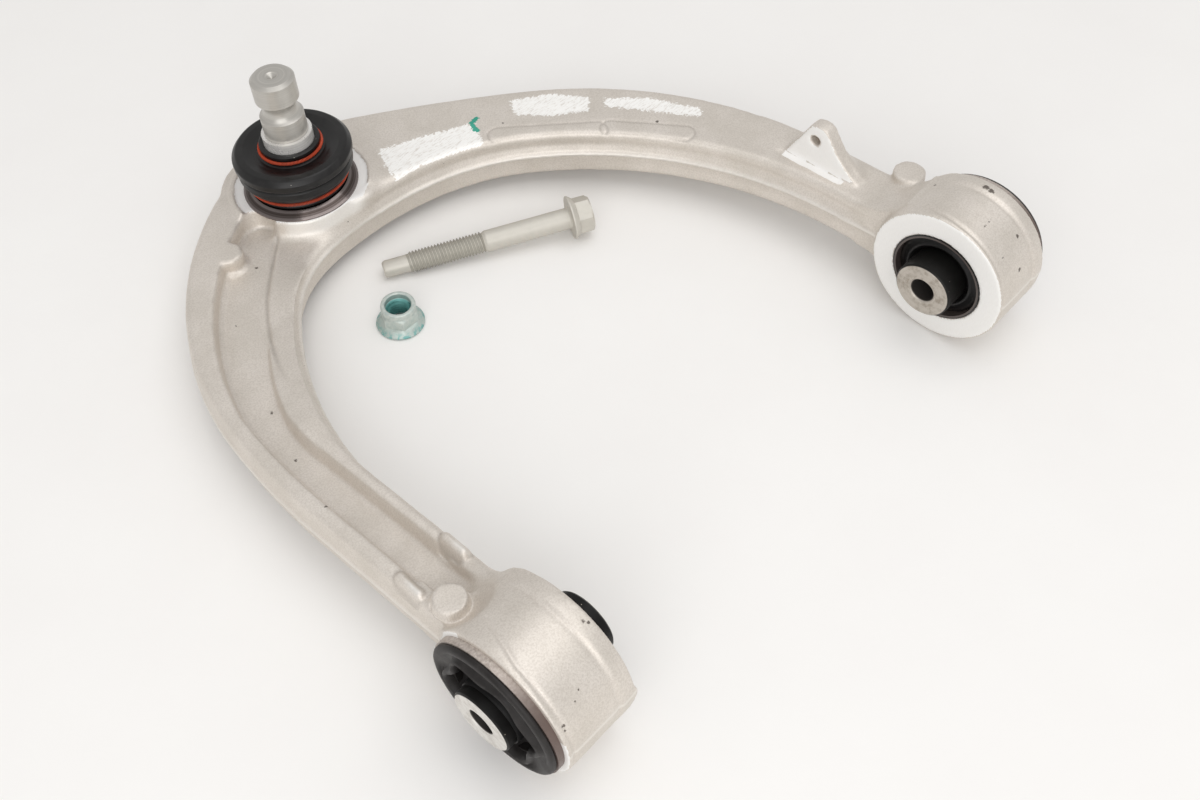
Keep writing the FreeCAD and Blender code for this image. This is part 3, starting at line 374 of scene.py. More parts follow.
def paint_simple(name, tone, roughness, metallic, grain, depth, spread=0.08):
    """A plain finish with its own grain: fine bump and a slight change of tone."""
    paint = Paint(name)
    lumps = paint.noise(grain * 12)
    fine = paint.noise(grain, detail=4.0)
    tones = scaled(tone, 1 - spread), scaled(tone, 1 + spread)
    return paint.finish(
        Base_Color=paint.mix(lumps, *tones), Metallic=metallic,
        Roughness=paint.span(lumps, 0.3, 0.7, roughness - 0.05, roughness + 0.05),
        Normal=paint.bump(fine, depth, 0.6))


def paint_forging():
    """Shot-blasted skin, white where it is milled or brushed, with nicks; painted highlights along
    its flash line, on the boss's front slope and the scoops' ridges, and painted shade in its
    creases and grooves.
    """
    paint = Paint("shot_blasted_aluminium")
    clouds = paint.noise(16.0, detail=4.0)
    grain = paint.noise(0.7, detail=2.0, rough=0.7)
    tone = paint.mix(paint.span(clouds, 0.3, 0.7), colour(219, 212, 203), colour(228, 221, 213))
    tone = paint.mix(paint.span(grain, 0.35, 0.68, 0.0, 0.4), tone, colour(188, 179, 168))
    tone = paint.mix(paint.specks(5.0, 0.3, 0.06), tone, colour(226, 222, 215))
    tone = paint.mix(paint.specks(11.0, 0.4, 0.035), tone, colour(96, 86, 76))
    # Painted light and shade from the masks: highlights along the flash line (flash) and on slopes
    # that catch the light (bright), and shade in grooves and outlines.
    for name, share, seen in (("flash", 0.75, (238, 234, 228)), ("bright", 0.8, (246, 244, 240)),
                              ("painted_shade", 0.6, (112, 102, 92))):
        tone = paint.mix(paint.math("MULTIPLY", paint.mask(name), share), tone, colour(*seen))
    ragged = paint.noise(1.6, detail=3.0, rough=0.7)

    def patch(name, fray, low, high):
        """The area of a mask, with a frayed edge."""
        edge = paint.math("ADD", paint.mask(name), paint.span(ragged, 0.3, 0.7, -fray, fray))
        return paint.span(edge, low, high)

    streaks = paint.noise(1.1, detail=4.0, rough=0.7, stretch=(0.35, 1.6, 1.0))
    worn = paint.math("MULTIPLY", patch("brushed", 0.28, 0.42, 0.58),
                      paint.span(streaks, 0.34, 0.52, 0.4, 1.0))
    tone = paint.mix(worn, tone, colour(252, 251, 248))
    milled = patch("milled", 0.12, 0.48, 0.6)
    cut = paint.noise(0.5, detail=3.0, stretch=(1.0, 1.0, 0.25))
    tone = paint.mix(milled, tone, paint.mix(cut, colour(240, 238, 235), colour(250, 249, 247)))
    tone = paint.mix(patch("green", 0.15, 0.62, 0.72), tone, colour(64, 168, 146))
    nick = paint.math("MULTIPLY", patch("nick", 0.1, 0.66, 0.8), 0.85)
    tone = paint.mix(nick, tone, colour(72, 62, 54))
    smooth = paint.math("MAXIMUM", milled, worn)
    rough_skin = paint.bump(grain, 0.09, 0.55)
    dimples = paint.bump(paint.noise(2.4), 0.1, 0.4, before=rough_skin)
    normal = paint.bump(streaks, 0.05, 0.35, before=dimples)
    return paint.finish(
        Base_Color=tone, Metallic=paint.span(smooth, 0.0, 1.0, 0.5, 0.1), Normal=normal,
        Roughness=paint.span(smooth, 0.0, 1.0, 0.46, 0.5))


def paint_rubber(name, tone, dust, specular, roughness, painted_shade_radius=0.0):
    """Moulded rubber with a film of dust and pale grains; nearer to the pivot than the given radius
    in millimetres it is painted near black, as shade in the bush's deep hollow.
    """
    paint = Paint(name, Specular_IOR_Level=specular)
    film = paint.noise(7.0, detail=5.0, rough=0.65)
    pale = tuple(min(1.0, channel * 2.4 + 0.012) for channel in tone[:3]) + (1.0,)
    shade = paint.mix(paint.span(film, 0.42, 0.75, 0.0, dust), tone, pale)
    shade = paint.mix(paint.specks(3.4, 0.22, 0.06), shade, colour(176, 170, 160))
    # Painted shade: the rubber deep in the hollow round the core is painted near black.
    if painted_shade_radius:
        away, _ = paint.from_axis(*PIVOT)
        inner = paint.span(away, (painted_shade_radius + 1.2) * MM, painted_shade_radius * MM)
        shade = paint.mix(inner, shade, colour(13, 12, 12))
    return paint.finish(
        Base_Color=shade, Roughness=paint.span(film, 0.3, 0.7, roughness - 0.06, roughness + 0.1),
        Normal=paint.bump(paint.noise(0.5, detail=4.0), 0.03, 0.5))


def paint_turned(name, tone, roughness, metallic, ring=0.5):
    """Metal with fine turning rings about the stud, and a few dark specks."""
    paint = Paint(name, Metallic=metallic)
    rings = paint.turning(ball_centre, stud_axis, ring)
    lumps = paint.noise(5.0, detail=4.0)
    darker = scaled(tone, 0.9)
    shade = paint.mix(paint.span(rings, 0.3, 0.7), darker, scaled(tone, 1.1))
    shade = paint.mix(paint.span(lumps, 0.5, 0.8, 0.0, 0.35), shade, darker)
    shade = paint.mix(paint.specks(5.0, 0.3, 0.05), shade, colour(70, 66, 62))
    return paint.finish(
        Base_Color=shade, Roughness=paint.span(lumps, 0.3, 0.7, roughness - 0.05, roughness + 0.06),
        Normal=paint.bump(rings, 0.02, 0.6))


def paint_core(name, tone, worn):
    """Bush core: bare steel on its end faces, painted dark in its bore as shade there, and rubber
    moulded over its outside.
    """
    paint = Paint(name, Specular_IOR_Level=0.25)
    away, _ = paint.from_axis(*PIVOT)
    rings = paint.turning(*PIVOT, 0.4)
    stains = paint.noise(3.5, detail=5.0, rough=0.7)
    steel = paint.mix(paint.span(stains, 0.42, 0.66, 0.0, worn), tone, colour(140, 128, 114))
    steel = paint.mix(paint.span(rings, 0.3, 0.7, 0.0, 0.25), steel, colour(225, 222, 216))
    # Painted shade: inside the bore the steel is painted dark.
    bore = paint.span(away, (CORE_BORE + 0.2) * MM, CORE_BORE * MM)
    steel = paint.mix(bore, steel, colour(74, 70, 67))
    dark = paint.mix(paint.specks(2.6, 0.3, 0.08), colour(14, 13, 12), colour(200, 190, 176))
    coated = paint.span(away, CORE_BARE * MM, (CORE_BARE + 0.15) * MM)
    return paint.finish(
        Base_Color=paint.mix(coated, steel, dark), Metallic=paint.span(coated, 0.0, 1.0, 0.5, 0.0),
        Roughness=paint.span(stains, 0.3, 0.7, 0.36, 0.5), Normal=paint.bump(rings, 0.02, 0.5))


def paint_sleeve():
    """Bush sleeve: brownish steel on its flange, painted lighter towards +y and darker towards -y
    as light and shade fall across it, and a dark coat inside the eye.
    """
    paint = Paint("sleeve_steel")
    away, _ = paint.from_axis(*PIVOT)
    lumps = paint.noise(1.0, detail=4.0, rough=0.6)
    steel = paint.mix(paint.span(lumps, 0.3, 0.7), colour(168, 157, 149), colour(206, 197, 189))
    # Painted light and shade: the flange is lighter on its +y side, where the light catches it, and
    # darker and browner on its -y side.
    side = paint.node("ShaderNodeSeparateXYZ", "Y", Vector=paint.place)
    steel = paint.mix(paint.span(side, 4 * MM, -24 * MM), steel, colour(112, 97, 91))
    bare = paint.span(away, SLEEVE_BARE * MM, (SLEEVE_BARE + 0.2) * MM)
    lip = paint.span(away, SLEEVE_LIP * MM, (SLEEVE_LIP + 0.3) * MM)
    coat = paint.mix(lip, colour(84, 75, 71), colour(18, 17, 17))
    return paint.finish(
        Base_Color=paint.mix(bare, coat, steel),
        Metallic=paint.span(bare, 0.0, 1.0, 0.0, 0.4),
        Roughness=paint.span(lumps, 0.3, 0.7, 0.34, 0.5), Normal=paint.bump(lumps, 0.04, 0.5))


def paint_housing():
    """The ball joint's polished cone, striped by the lathe."""
    paint = Paint("housing_steel", Metallic=1.0)
    rings = paint.turning(ball_centre, stud_axis, 0.5)
    bands = paint.turning(ball_centre, stud_axis, 2.2)
    smears = paint.noise(4.0, detail=5.0, rough=0.7)
    tone = paint.mix(paint.span(bands, 0.35, 0.65), colour(70, 62, 58), colour(150, 141, 139))
    tone = paint.mix(paint.span(rings, 0.35, 0.7, 0.0, 0.5), tone, colour(66, 57, 54))
    return paint.finish(
        Base_Color=tone, Roughness=paint.span(smears, 0.3, 0.7, 0.1, 0.26),
        Normal=paint.bump(rings, 0.015, 0.5))


def paint_nut(name, tinted):
    """Zinc flake, tinted teal within a radius in millimetres and pooled on the flange."""
    paint = Paint(name, Metallic=0.4)
    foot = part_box("pinch_nut")
    middle = [(low + high) / 2 for low, high in zip(*foot)]
    away, along = paint.from_axis((middle[0], middle[1], foot[0][2]), (0, 0, 1))
    film = paint.noise(1.8, detail=4.0, rough=0.6)
    bore = paint.span(away, tinted * MM, (tinted - 0.3) * MM)
    pool = paint.math("MULTIPLY", paint.span(along, 4.0 * MM, 0.5 * MM), paint.span(film, 0.4, 0.6))
    teal = paint.math("MAXIMUM", bore, pool)
    tone = paint.mix(paint.span(film, 0.3, 0.7), colour(184, 196, 191), colour(206, 212, 206))
    return paint.finish(
        Base_Color=paint.mix(teal, tone, colour(112, 172, 168)),
        Roughness=paint.span(film, 0.3, 0.7, 0.36, 0.5),
        Normal=paint.bump(paint.noise(0.35, detail=4.0), 0.04, 0.6))


def make_materials():
    return {
        "cast": paint_forging(),
        "steel": paint_simple("plain_steel", colour(150, 148, 146), 0.35, 0.9, 0.3, 0.01),
        "sleeve": paint_sleeve(),
        "front core": paint_core("front_core_steel", colour(230, 227, 222), 0.3),
        "rear core": paint_core("rear_core_steel", colour(184, 176, 166), 0.8),
        # The bush rubber is painted near black within 17.4 mm of the pivot, as shade in its hollow.
        "rubber": paint_rubber("bush_rubber", colour(31, 28, 27), 0.5, 0.32, 0.46, 17.4),
        "boot": paint_rubber("boot_rubber", colour(20, 19, 19), 0.35, 0.4, 0.34),
        "housing": paint_housing(),
        "wire": paint_simple("red_wire", colour(190, 74, 44), 0.4, 0.1, 0.4, 0.01, 0.3),
        "polymer": paint_simple("seat_polymer", colour(225, 222, 212), 0.4, 0.0, 0.4, 0.01),
        "collar": paint_turned("collar_steel", colour(240, 238, 235), 0.3, 0.55),
        "stud": paint_turned("plated_steel", colour(192, 189, 183), 0.36, 0.65, 0.8),
        "bolt": paint_simple("zinc_flake", colour(203, 199, 190), 0.48, 0.35, 0.35, 0.04, 0.12),
        "thread": paint_simple("threaded_zinc_flake", colour(168, 164, 154), 0.5, 0.35, 0.3, 0.03,
                               0.2),
        "nut": paint_nut("green_zinc", 5.9),
        "nut thread": paint_nut("threaded_green_zinc", 9.0),
    }


def dress_cad_nodes(paints):
    """Every CAD node that stays gets the finish of its real piece."""
    finish = {
        "arm_forging": "cast", "front_bush_sleeve": "sleeve", "rear_bush_sleeve": "sleeve",
        "front_bush_rubber": "rubber", "rear_bush_rubber": "rubber",
        "front_bush_core": "front core", "rear_bush_core": "rear core", "joint_housing": "housing",
        "ball_seat_upper": "polymer", "ball_seat_lower": "polymer",
        "seat_preload_ring": "rubber", "closing_cap": "housing", "retaining_ring": "steel",
        "ball_stud": "stud", "stud_collar": "collar", "dust_boot": "boot",
        "boot_upper_ring": "wire", "boot_lower_ring": "wire",
        "pinch_bolt": "bolt", "pinch_nut": "nut",
    }
    for node, paint in finish.items():
        mesh = frame["nodes"][node].data
        mesh.materials.clear()
        mesh.materials.append(paints[paint])


# ---------------------------------------------------------------- forging

SKIN_CELL = 0.75
# The forging's own sizes, and heights above the arm's plane, in millimetres
EYE_HALF, EYE_RADIUS, EYE_FACE_RADIUS = 16.5, 32.17, 42
BEAM_TOP, SEAT_TOP, TAB_STEP = 11.5, 12.5, 13.1
SEAT_RADIUS, SEAT_RIM = 30.9, 30.6
# Nearer to a bore's axis than this, the skin stays as the CAD solid has it
BORE_KEEP = 23.5
# Rounds of smoothing for the whole skin, the boss, the neck, its bowl and the scoops
SKIN_ROUNDS, BOSS_ROUNDS, NECK_ROUNDS, BOWL_ROUNDS, SCOOP_ROUNDS, LAST_ROUNDS = 6, 90, 60, 14, 12, 2

# Places in the arm's plane, x and v in millimetres
MIDDLE_OF_U = (112, 110)
TAB_FACE_X, SHELF_X, SHELF_V = rear_eye_x - 2.0, rear_eye_x - 3.9, 75
BRUSHED = (
    ((140, 236.5), (162, 227), (183, 216), (173, 199), (154, 209.5), (146, 214), (131, 210),
     (135, 226)),
    ((205, 214.5), (221, 203), (231, 187), (223, 180.5), (209, 192), (199, 205)),
    ((234.5, 181), (249, 164), (258.5, 140), (254, 136), (242, 157), (231, 176)),
)
# Start and end of a bar, and its radius
CARTOUCHES = (((184, 201), (216, 168.5), 5.2), ((221, 164), (240, 135), 5.0))
# Start and end of a bar, its height and half width; then its hollow's depth
SCOOPS = (((-9.5, 56.0), (-10.2, 46.0), 2.5, 2.4), ((12.9, 55.5), (12.2, 46.5), 3.4, 3.0))
SCOOP_HOLLOWS = (((-6.9, 55), (-7.4, 48), 1.2), ((9.0, 56), (8.9, 46.5), 2.4))
TOP_NICKS = ((58.4, 227.2, 0.7), (30.9, 206.5, 0.6), (11.0, 157.5, 0.8), (2.0, 131.5, 0.8),
             (-6.8, 100.3, 0.8), (94.2, 203.5, 1.6), (191, 205.5, 0.7), (238, 150, 0.8))
LEDGE_CREASE = ((75.9, 233.7), (68.2, 226.8), (56.9, 216.3), (48.6, 207.7), (41.4, 198.2),
                (34.7, 187.6), (27.6, 172.1), (21.1, 155.0))
GREEN_TICK = ((185.4, 217.6), (181.2, 216.6), (179.6, 211.2))
FRONT_PAD, CHANNEL_PAD = (-5.3, 34.4), (52.5, 236.7)
PAD_TOP, PAD_TOP_RADIUS = 16.3, 6.3
BOWL_DEPTH, BOWL_RISE = 4.3, 0.15
SCRAPE = (62, 228)
# Places on an eye's barrel: x from the eye's middle, angle from the arm's side over the top,
# radius; and the same two for the crease lines, angles first
FRONT_NICKS = ((13.3, 109, 0.8), (14.4, 112, 0.6), (-13.6, 148, 0.8), (-13.7, 152, 0.6),
               (-2.5, 137, 0.5), (-5.8, 141, 0.5))
REAR_NICKS = ((11.8, 88, 1.5), (11.3, 93, 1.3), (4.5, 131, 0.9), (-1.4, 154, 0.9), (-8.4, 135, 0.6),
              (6.2, 49, 0.7), (-7.0, 108, 0.45), (-5.5, 108, 0.45), (-4.0, 108, 0.45),
              (-2.5, 108, 0.45), (-1.0, 108, 0.45))
EYE_CREASES = (
    (0.0, (62, 83, 100, 122, 180), (-6.8, -10.3, -13.0, -13.8, -13.8)),
    (rear_eye_x, (62, 72, 95, 121, 180), (-10.5, -12.0, -13.6, -14.2, -14.4)),
)


def to_arm(points):
    """From millimetres in the world to x, v, w in the arm's own plane."""
    cosine, sine = math.cos(lean), math.sin(lean)
    x, y, z = points.T
    return np.stack((x, y * cosine - z * sine, y * sine + z * cosine), axis=1)


def round_pivot(points):
    """Distance from the pivot axis, and angle about it from the arm's side over the top."""
    y, z = points[:, 1], points[:, 2]
    return np.hypot(y, z), np.degrees(np.arctan2(z, y)) % 360


def round_joint(x, v):
    """Distance from the ball joint's middle in the arm's plane, and heading from it."""
    return np.hypot(x - joint_x, v - joint_v), np.degrees(np.arctan2(v - joint_v, x - joint_x))


def away_from(x, v, place):
    """Distance from a place in the arm's plane."""
    return np.hypot(x - place[0], v - place[1])


def remeshed_copy(name, node, cell):
    """An even mesh over a CAD node, whose own mesh stays as it is."""
    copy = add_object(name + "_source", frame["nodes"][node].data.copy())
    modifier = copy.modifiers.new("even", "REMESH")
    modifier.mode = "VOXEL"
    modifier.voxel_size = cell * MM
    modifier.adaptivity = 0.0
    graph = bpy.context.evaluated_depsgraph_get()
    mesh = bpy.data.meshes.new_from_object(copy.evaluated_get(graph))
    bpy.data.objects.remove(copy)
    mesh.name = name
    mesh.materials.clear()
    return add_object(name, mesh)


def read_points(mesh):
    """The mesh's points in millimetres."""
    flat = np.empty(len(mesh.vertices) * 3)
    mesh.vertices.foreach_get("co", flat)
    return flat.reshape(-1, 3) / MM


def write_points(mesh, points):
    """Moves the mesh's points and returns its new normals."""
    mesh.vertices.foreach_set("co", (points * MM).ravel())
    mesh.update()
    normals = np.empty(len(points) * 3)
    mesh.vertex_normals.foreach_get("vector", normals)
    return normals.reshape(-1, 3)


def smooth_points(points, edges, free, rounds, share=0.5):
    """Moves each point towards the middle of its neighbours, by its own freedom."""
    count = len(points)
    first, second = edges.T
    links = np.bincount(first, minlength=count) + np.bincount(second, minlength=count)
    for _ in range(rounds):
        middle = np.empty_like(points)
        for axis in range(3):
            middle[:, axis] = (np.bincount(first, points[second, axis], count)
                               + np.bincount(second, points[first, axis], count)) / links
        points = points + (middle - points) * (free * share)[:, None]
    return points


def bell(distance, width):
    """1 at no distance, falling to a third at the width."""
    return np.exp(-(distance / width) ** 2)


def smooth_step(value, low, high):
    """0 below low, 1 above high and a smooth rise between them."""
    share = np.clip((value - low) / (high - low), 0, 1)
    return share * share * (3 - 2 * share)


def near_bar(x, v, start, end):
    """Distance to a straight bar in the arm's plane, and how far along it, 0 to 1."""
    start, end = np.array(start, float), np.array(end, float)
    span = end - start
    along = ((x - start[0]) * span[0] + (v - start[1]) * span[1]) / (span @ span)
    along = np.clip(along, 0, 1)
    return np.hypot(x - start[0] - along * span[0], v - start[1] - along * span[1]), along


def from_path(x, v, places):
    """Distance to a line through several places in the arm's plane."""
    return np.min([near_bar(x, v, *ends)[0] for ends in zip(places, places[1:])], axis=0)


def inside(x, v, corners):
    """Distance to a polygon's outline, above zero inside it."""
    away = np.full(len(x), np.inf)
    odd = np.zeros(len(x), bool)
    for place, corner in enumerate(corners):
        after = corners[(place + 1) % len(corners)]
        away = np.minimum(away, near_bar(x, v, corner, after)[0])
        crosses = (corner[1] > v) != (after[1] > v)
        rise = after[1] - corner[1] or 1e-9
        odd ^= crosses & (x < corner[0] + (v - corner[1]) * (after[0] - corner[0]) / rise)
    return np.where(odd, away, -away)


def cone(distance, radius):
    """1 at a mark's middle, 0.7 at its radius, falling evenly so that its edge can be sharp."""
    return np.clip(1 - 0.3 * distance / radius, 0, 1)


def set_mask(mesh, name, values):
    """Numbers for a material's mask, one for each point of the mesh."""
    mask = mesh.attributes.new(name, "FLOAT", "POINT")
    mask.data.foreach_set("value", np.ascontiguousarray(values, dtype=np.float32))


def soften(points, pairs):
    """Rounds the forging's edges, most where the boss runs into the leg; bores stay as they are."""
    x, v, w = to_arm(points).T
    from_pivot, _ = round_pivot(points)
    from_joint, heading = round_joint(x, v)
    eyes = (np.abs(x) < EYE_HALF + 2) | (np.abs(x - rear_eye_x) < EYE_HALF + 2)
    free = np.ones(len(points))
    free[eyes & (from_pivot < BORE_KEEP)] = 0
    free[from_joint < BORE_KEEP] = 0
    free[(w > SEAT_TOP - 1) & (np.abs(from_joint - SEAT_RIM) < 1.0)] = 0.15
    free[np.abs(w) < 1.3] *= 0.3
    points = smooth_points(points, pairs, free, SKIN_ROUNDS)
    front = smooth_step(heading, -167, -153) * (1 - smooth_step(heading, -62, -46))
    seat_edge = np.where(w < SEAT_TOP - 0.7, 29.3, 31.5) - 5.0 * front
    blend = (smooth_step(from_joint, seat_edge, seat_edge + 2.2) * smooth_step(w, 0.5, 2.5)
             * (1 - smooth_step(from_joint, 42, 48)) * (1 - smooth_step(v, 232, 246))
             * smooth_step(away_from(x, v, CHANNEL_PAD), 8, 11))
    points = smooth_points(points, pairs, blend, BOSS_ROUNDS)
    neck = smooth_step(v, 6, 16) * (1 - smooth_step(v, 34, 44)) * (np.abs(x) < 22)
    neck *= np.where(v < 27, 1 - smooth_step(np.abs(x), 12.5, 15), 1)
    neck *= smooth_step(w, 2, 5) * smooth_step(away_from(x, v, FRONT_PAD), 8.2, 10)
    points = smooth_points(points, pairs, neck, NECK_ROUNDS)
    points = sink_neck(points, pairs)
    scoops = np.zeros(len(points))
    for start, end, *_ in SCOOPS:
        away, _ = near_bar(x, v, start, end)
        scoops = np.maximum(scoops, 1 - smooth_step(away, 4.5, 7.0))
    return smooth_points(points, pairs, scoops * smooth_step(w, 2, 5), SCOOP_ROUNDS)


def sink_neck(points, pairs):
    """Hollows the front eye's neck round its pad, so that the pad stands clear of the barrel."""
    x, v, w = to_arm(points).T
    from_pad = away_from(x, v, FRONT_PAD)
    wall = smooth_step(from_pad, PAD_TOP_RADIUS, PAD_TOP_RADIUS + 0.8)
    bowl = PAD_TOP + BOWL_RISE * np.maximum(from_pad - 7.0, 0) ** 2 - BOWL_DEPTH * wall
    sink = np.maximum(w - bowl, 0) * (w > 2) * (v > 12) * (v < 40) * (np.abs(x) < 22)
    points = points - sink[:, None] * np.array(stud_axis)
    near = smooth_step(from_pad, 7.6, 9.5) * (1 - smooth_step(from_pad, 18, 22))
    return smooth_points(points, pairs, near * smooth_step(w, 8, 11), BOWL_ROUNDS)


def barrel_marks(points, middle, nicks):
    """How near each point of an eye's barrel is to one of its nicks."""
    along = points[:, 0] - middle
    radius, angle = round_pivot(points)
    shell = radius > EYE_RADIUS - 2.5
    near = np.zeros(len(points))
    for place, turn, size in nicks:
        arc = np.radians(angle - turn) * EYE_RADIUS
        near = np.maximum(near, cone(np.hypot(along - place, arc), size))
    return near * (shell & (np.abs(along) < EYE_HALF + 1))


def corner_flare(points):
    """How far the front eye's parting flash stands out past its inner end, along x."""
    radius, angle = round_pivot(points)
    end = smooth_step(points[:, 0], 11.5, 16.0) * (points[:, 0] < EYE_HALF + 2)
    return 1.8 * end * (radius > EYE_RADIUS - 3.0) * bell(angle - 181, 8.0)


def eye_relief(points):
    """Crease lines and the flared outer band on both eyes' barrels."""
    lift = np.zeros(len(points))
    radius, angle = round_pivot(points)
    shell = smooth_step(radius, EYE_RADIUS - 1.5, EYE_RADIUS - 0.5)
    upper = smooth_step(angle, 50, 70) * (1 - smooth_step(angle, 185, 200))
    for middle, angles, places in EYE_CREASES:
        along = points[:, 0] - middle
        here = shell * upper * (np.abs(along) < EYE_HALF + 0.5)
        crease = np.interp(angle, angles, places)
        lift -= here * 0.55 * bell(along - crease, 0.8)
        lift += here * 0.25 * smooth_step(crease - along, 0.3, 1.8)
        lift -= here * (0.6 - 0.6 * smooth_step(along, 8.7, 10.2))
        lift -= here * (0.25 * bell(along - 8.2, 0.8) + 0.3 * smooth_step(along, 11.5, 15.5))
    return lift


def wall_relief(points, normals):
    """The drafted walls inside the U: hollow above the flash line, which stands out."""
    x, v, w = to_arm(points).T
    wall = 1 - smooth_step(np.abs(to_arm(normals)[:, 2]), 0.45, 0.7)
    facing = normals[:, 0] * (MIDDLE_OF_U[0] - x) + normals[:, 1] * (MIDDLE_OF_U[1] - v)
    inner = smooth_step(facing, 0, 20)
    from_joint, _ = round_joint(x, v)
    here = wall * inner * smooth_step(v, 36, 50) * smooth_step(from_joint, 30, 36)
    return here * (0.9 * bell(w - 0.3, 0.8) - 0.8 * bell(w - 5.2, 2.2) - 0.35 * bell(w + 5.5, 2.5))


def crease_span(v, w):
    """1 along the ledge's crease, fading out towards its end in the leg."""
    return smooth_step(v, 156, 186) * (w < BEAM_TOP - 1)


def top_relief(x, v, w, normals):
    """Height of the scoops, ledge crease, cartouches and scraped patches on the upper side."""
    up = smooth_step(normals[:, 2], 0.3, 0.8)
    lift = np.zeros(len(x))
    for start, end, height, width in SCOOPS:
        away, _ = near_bar(x, v, start, end)
        lift += height * np.sqrt(np.maximum(1 - (away / width) ** 2, 0)) * smooth_step(w, 4, 8)
    for start, end, depth in SCOOP_HOLLOWS:
        away, _ = near_bar(x, v, start, end)
        lift -= depth * bell(away, 1.3) * smooth_step(w, 4, 8)
    lift -= up * 0.9 * bell(from_path(x, v, LEDGE_CREASE), 0.95) * crease_span(v, w)
    flat = up * (np.abs(w - BEAM_TOP) < 1.5)
    for start, end, radius in CARTOUCHES:
        away, _ = near_bar(x, v, start, end)
        lift -= flat * 0.4 * bell(away - radius, 0.7)
    for corners in BRUSHED:
        lift -= flat * 0.12 * smooth_step(inside(x, v, corners), 0.0, 1.2)
    scrape = np.sin(x * 3.1 + v * 1.3) * bell(away_from(x, v, SCRAPE), 6.0)
    return lift + 0.12 * scrape * up


def surface_waves(points):
    """Slight unevenness of a forged skin, in two sizes of lump."""
    return np.array([noise.noise(Vector(point) * 0.09) + 0.4 * noise.noise(Vector(point) * 0.29)
                     for point in points])


def machined_faces(points, x, v, w, normals):
    """Where the skin is machined: all of it, the eyes' faces alone, the tab and its foot."""
    level, side = to_arm(normals)[:, 2], np.abs(normals[:, 0])
    from_pivot, turn = round_pivot(points)
    from_joint, _ = round_joint(x, v)
    face = (np.abs(x - (rear_eye_x - EYE_HALF)) < 0.6) | (np.abs(x + EYE_HALF) < 0.6)
    face &= (side > 0.8) & (from_pivot < EYE_FACE_RADIUS)
    bare = (x > EYE_HALF) | (turn < 52) | (turn > 160)
    seat = (np.abs(w - SEAT_TOP) < 0.5) & (from_joint < SEAT_RADIUS) & (level > 0.8)
    tab = (np.abs(x - TAB_FACE_X) < 0.6) & (side > 0.8) & (w > BEAM_TOP - 0.7) & (v > 40)
    shelf = (1 - smooth_step(np.abs(x - SHELF_X), 1.2, 2.6)) * smooth_step(level, 0.6, 0.85)
    shelf *= 1 - smooth_step(np.abs(v - SHELF_V), 15, 18)
    return (face & bare) | seat | tab, face, tab, shelf


def paint_masks(mesh, points, x, v, w, level, tab):
    """Masks for what differs in colour: patches and nicks, painted shade in grooves and outlines,
    and painted highlights along the flash line, on slopes that catch the light and on the scoops'
    ridges.
    """
    up = level > 0.6
    brushed = np.zeros(len(x))
    for corners in BRUSHED:
        brushed = np.maximum(brushed, np.clip(0.5 + inside(x, v, corners) / 4, 0, 1))
    set_mask(mesh, "brushed", brushed * up * (np.abs(w - BEAM_TOP) < 2.5))
    nick = np.maximum(barrel_marks(points, 0.0, FRONT_NICKS),
                      barrel_marks(points, rear_eye_x, REAR_NICKS))
    for *place, size in TOP_NICKS:
        nick = np.maximum(nick, cone(away_from(x, v, place), size) * (level > 0.2))
    set_mask(mesh, "nick", nick)
    set_mask(mesh, "green", cone(from_path(x, v, GREEN_TICK), 1.15) * up)
    # Painted shade: the ledge's crease, the cartouche outlines, the scoops' edges and the tab's
    # step are darkened where shade falls in them.
    painted_shade = 0.55 * bell(from_path(x, v, LEDGE_CREASE), 0.75) * up * crease_span(v, w)
    for start, end, radius in CARTOUCHES:
        painted_shade = np.maximum(painted_shade, 0.45 * bell(near_bar(x, v, start, end)[0] - radius, 0.5) * up)
    # ridge: the scoops' ridges, which get a painted highlight.
    ridge = np.zeros(len(x))
    for start, end, _, width in SCOOPS:
        away, along = near_bar(x, v, start, end)
        painted_shade = np.maximum(painted_shade, 0.38 * bell(away - width - 0.3, 0.6) * (w > 6))
        ridge = np.maximum(ridge, bell(away, 1.1) * smooth_step(along, 0.15, 0.7) * (w > 9))
    set_mask(mesh, "painted_shade", np.maximum(painted_shade, 0.75 * tab * bell(w - TAB_STEP, 0.7)))
    # Painted highlight: the boss's front slope round the ball joint and the scoops' ridges are
    # lightened where the light catches them.
    from_joint, heading = round_joint(x, v)
    ring = smooth_step(from_joint, BORE_KEEP, BORE_KEEP + 1)
    ring *= 1 - smooth_step(from_joint, 29.5, 35)
    slope = (ring * smooth_step(heading, -150, -140) * (1 - smooth_step(heading, -74, -50))
             * smooth_step(w, 5, 8))
    set_mask(mesh, "bright", 0.75 * np.maximum(slope, ridge))
    # Painted highlight along the flash line on the walls, where its ridge catches the light.
    set_mask(mesh, "flash", bell(w, 0.9) * (np.abs(level) < 0.75))


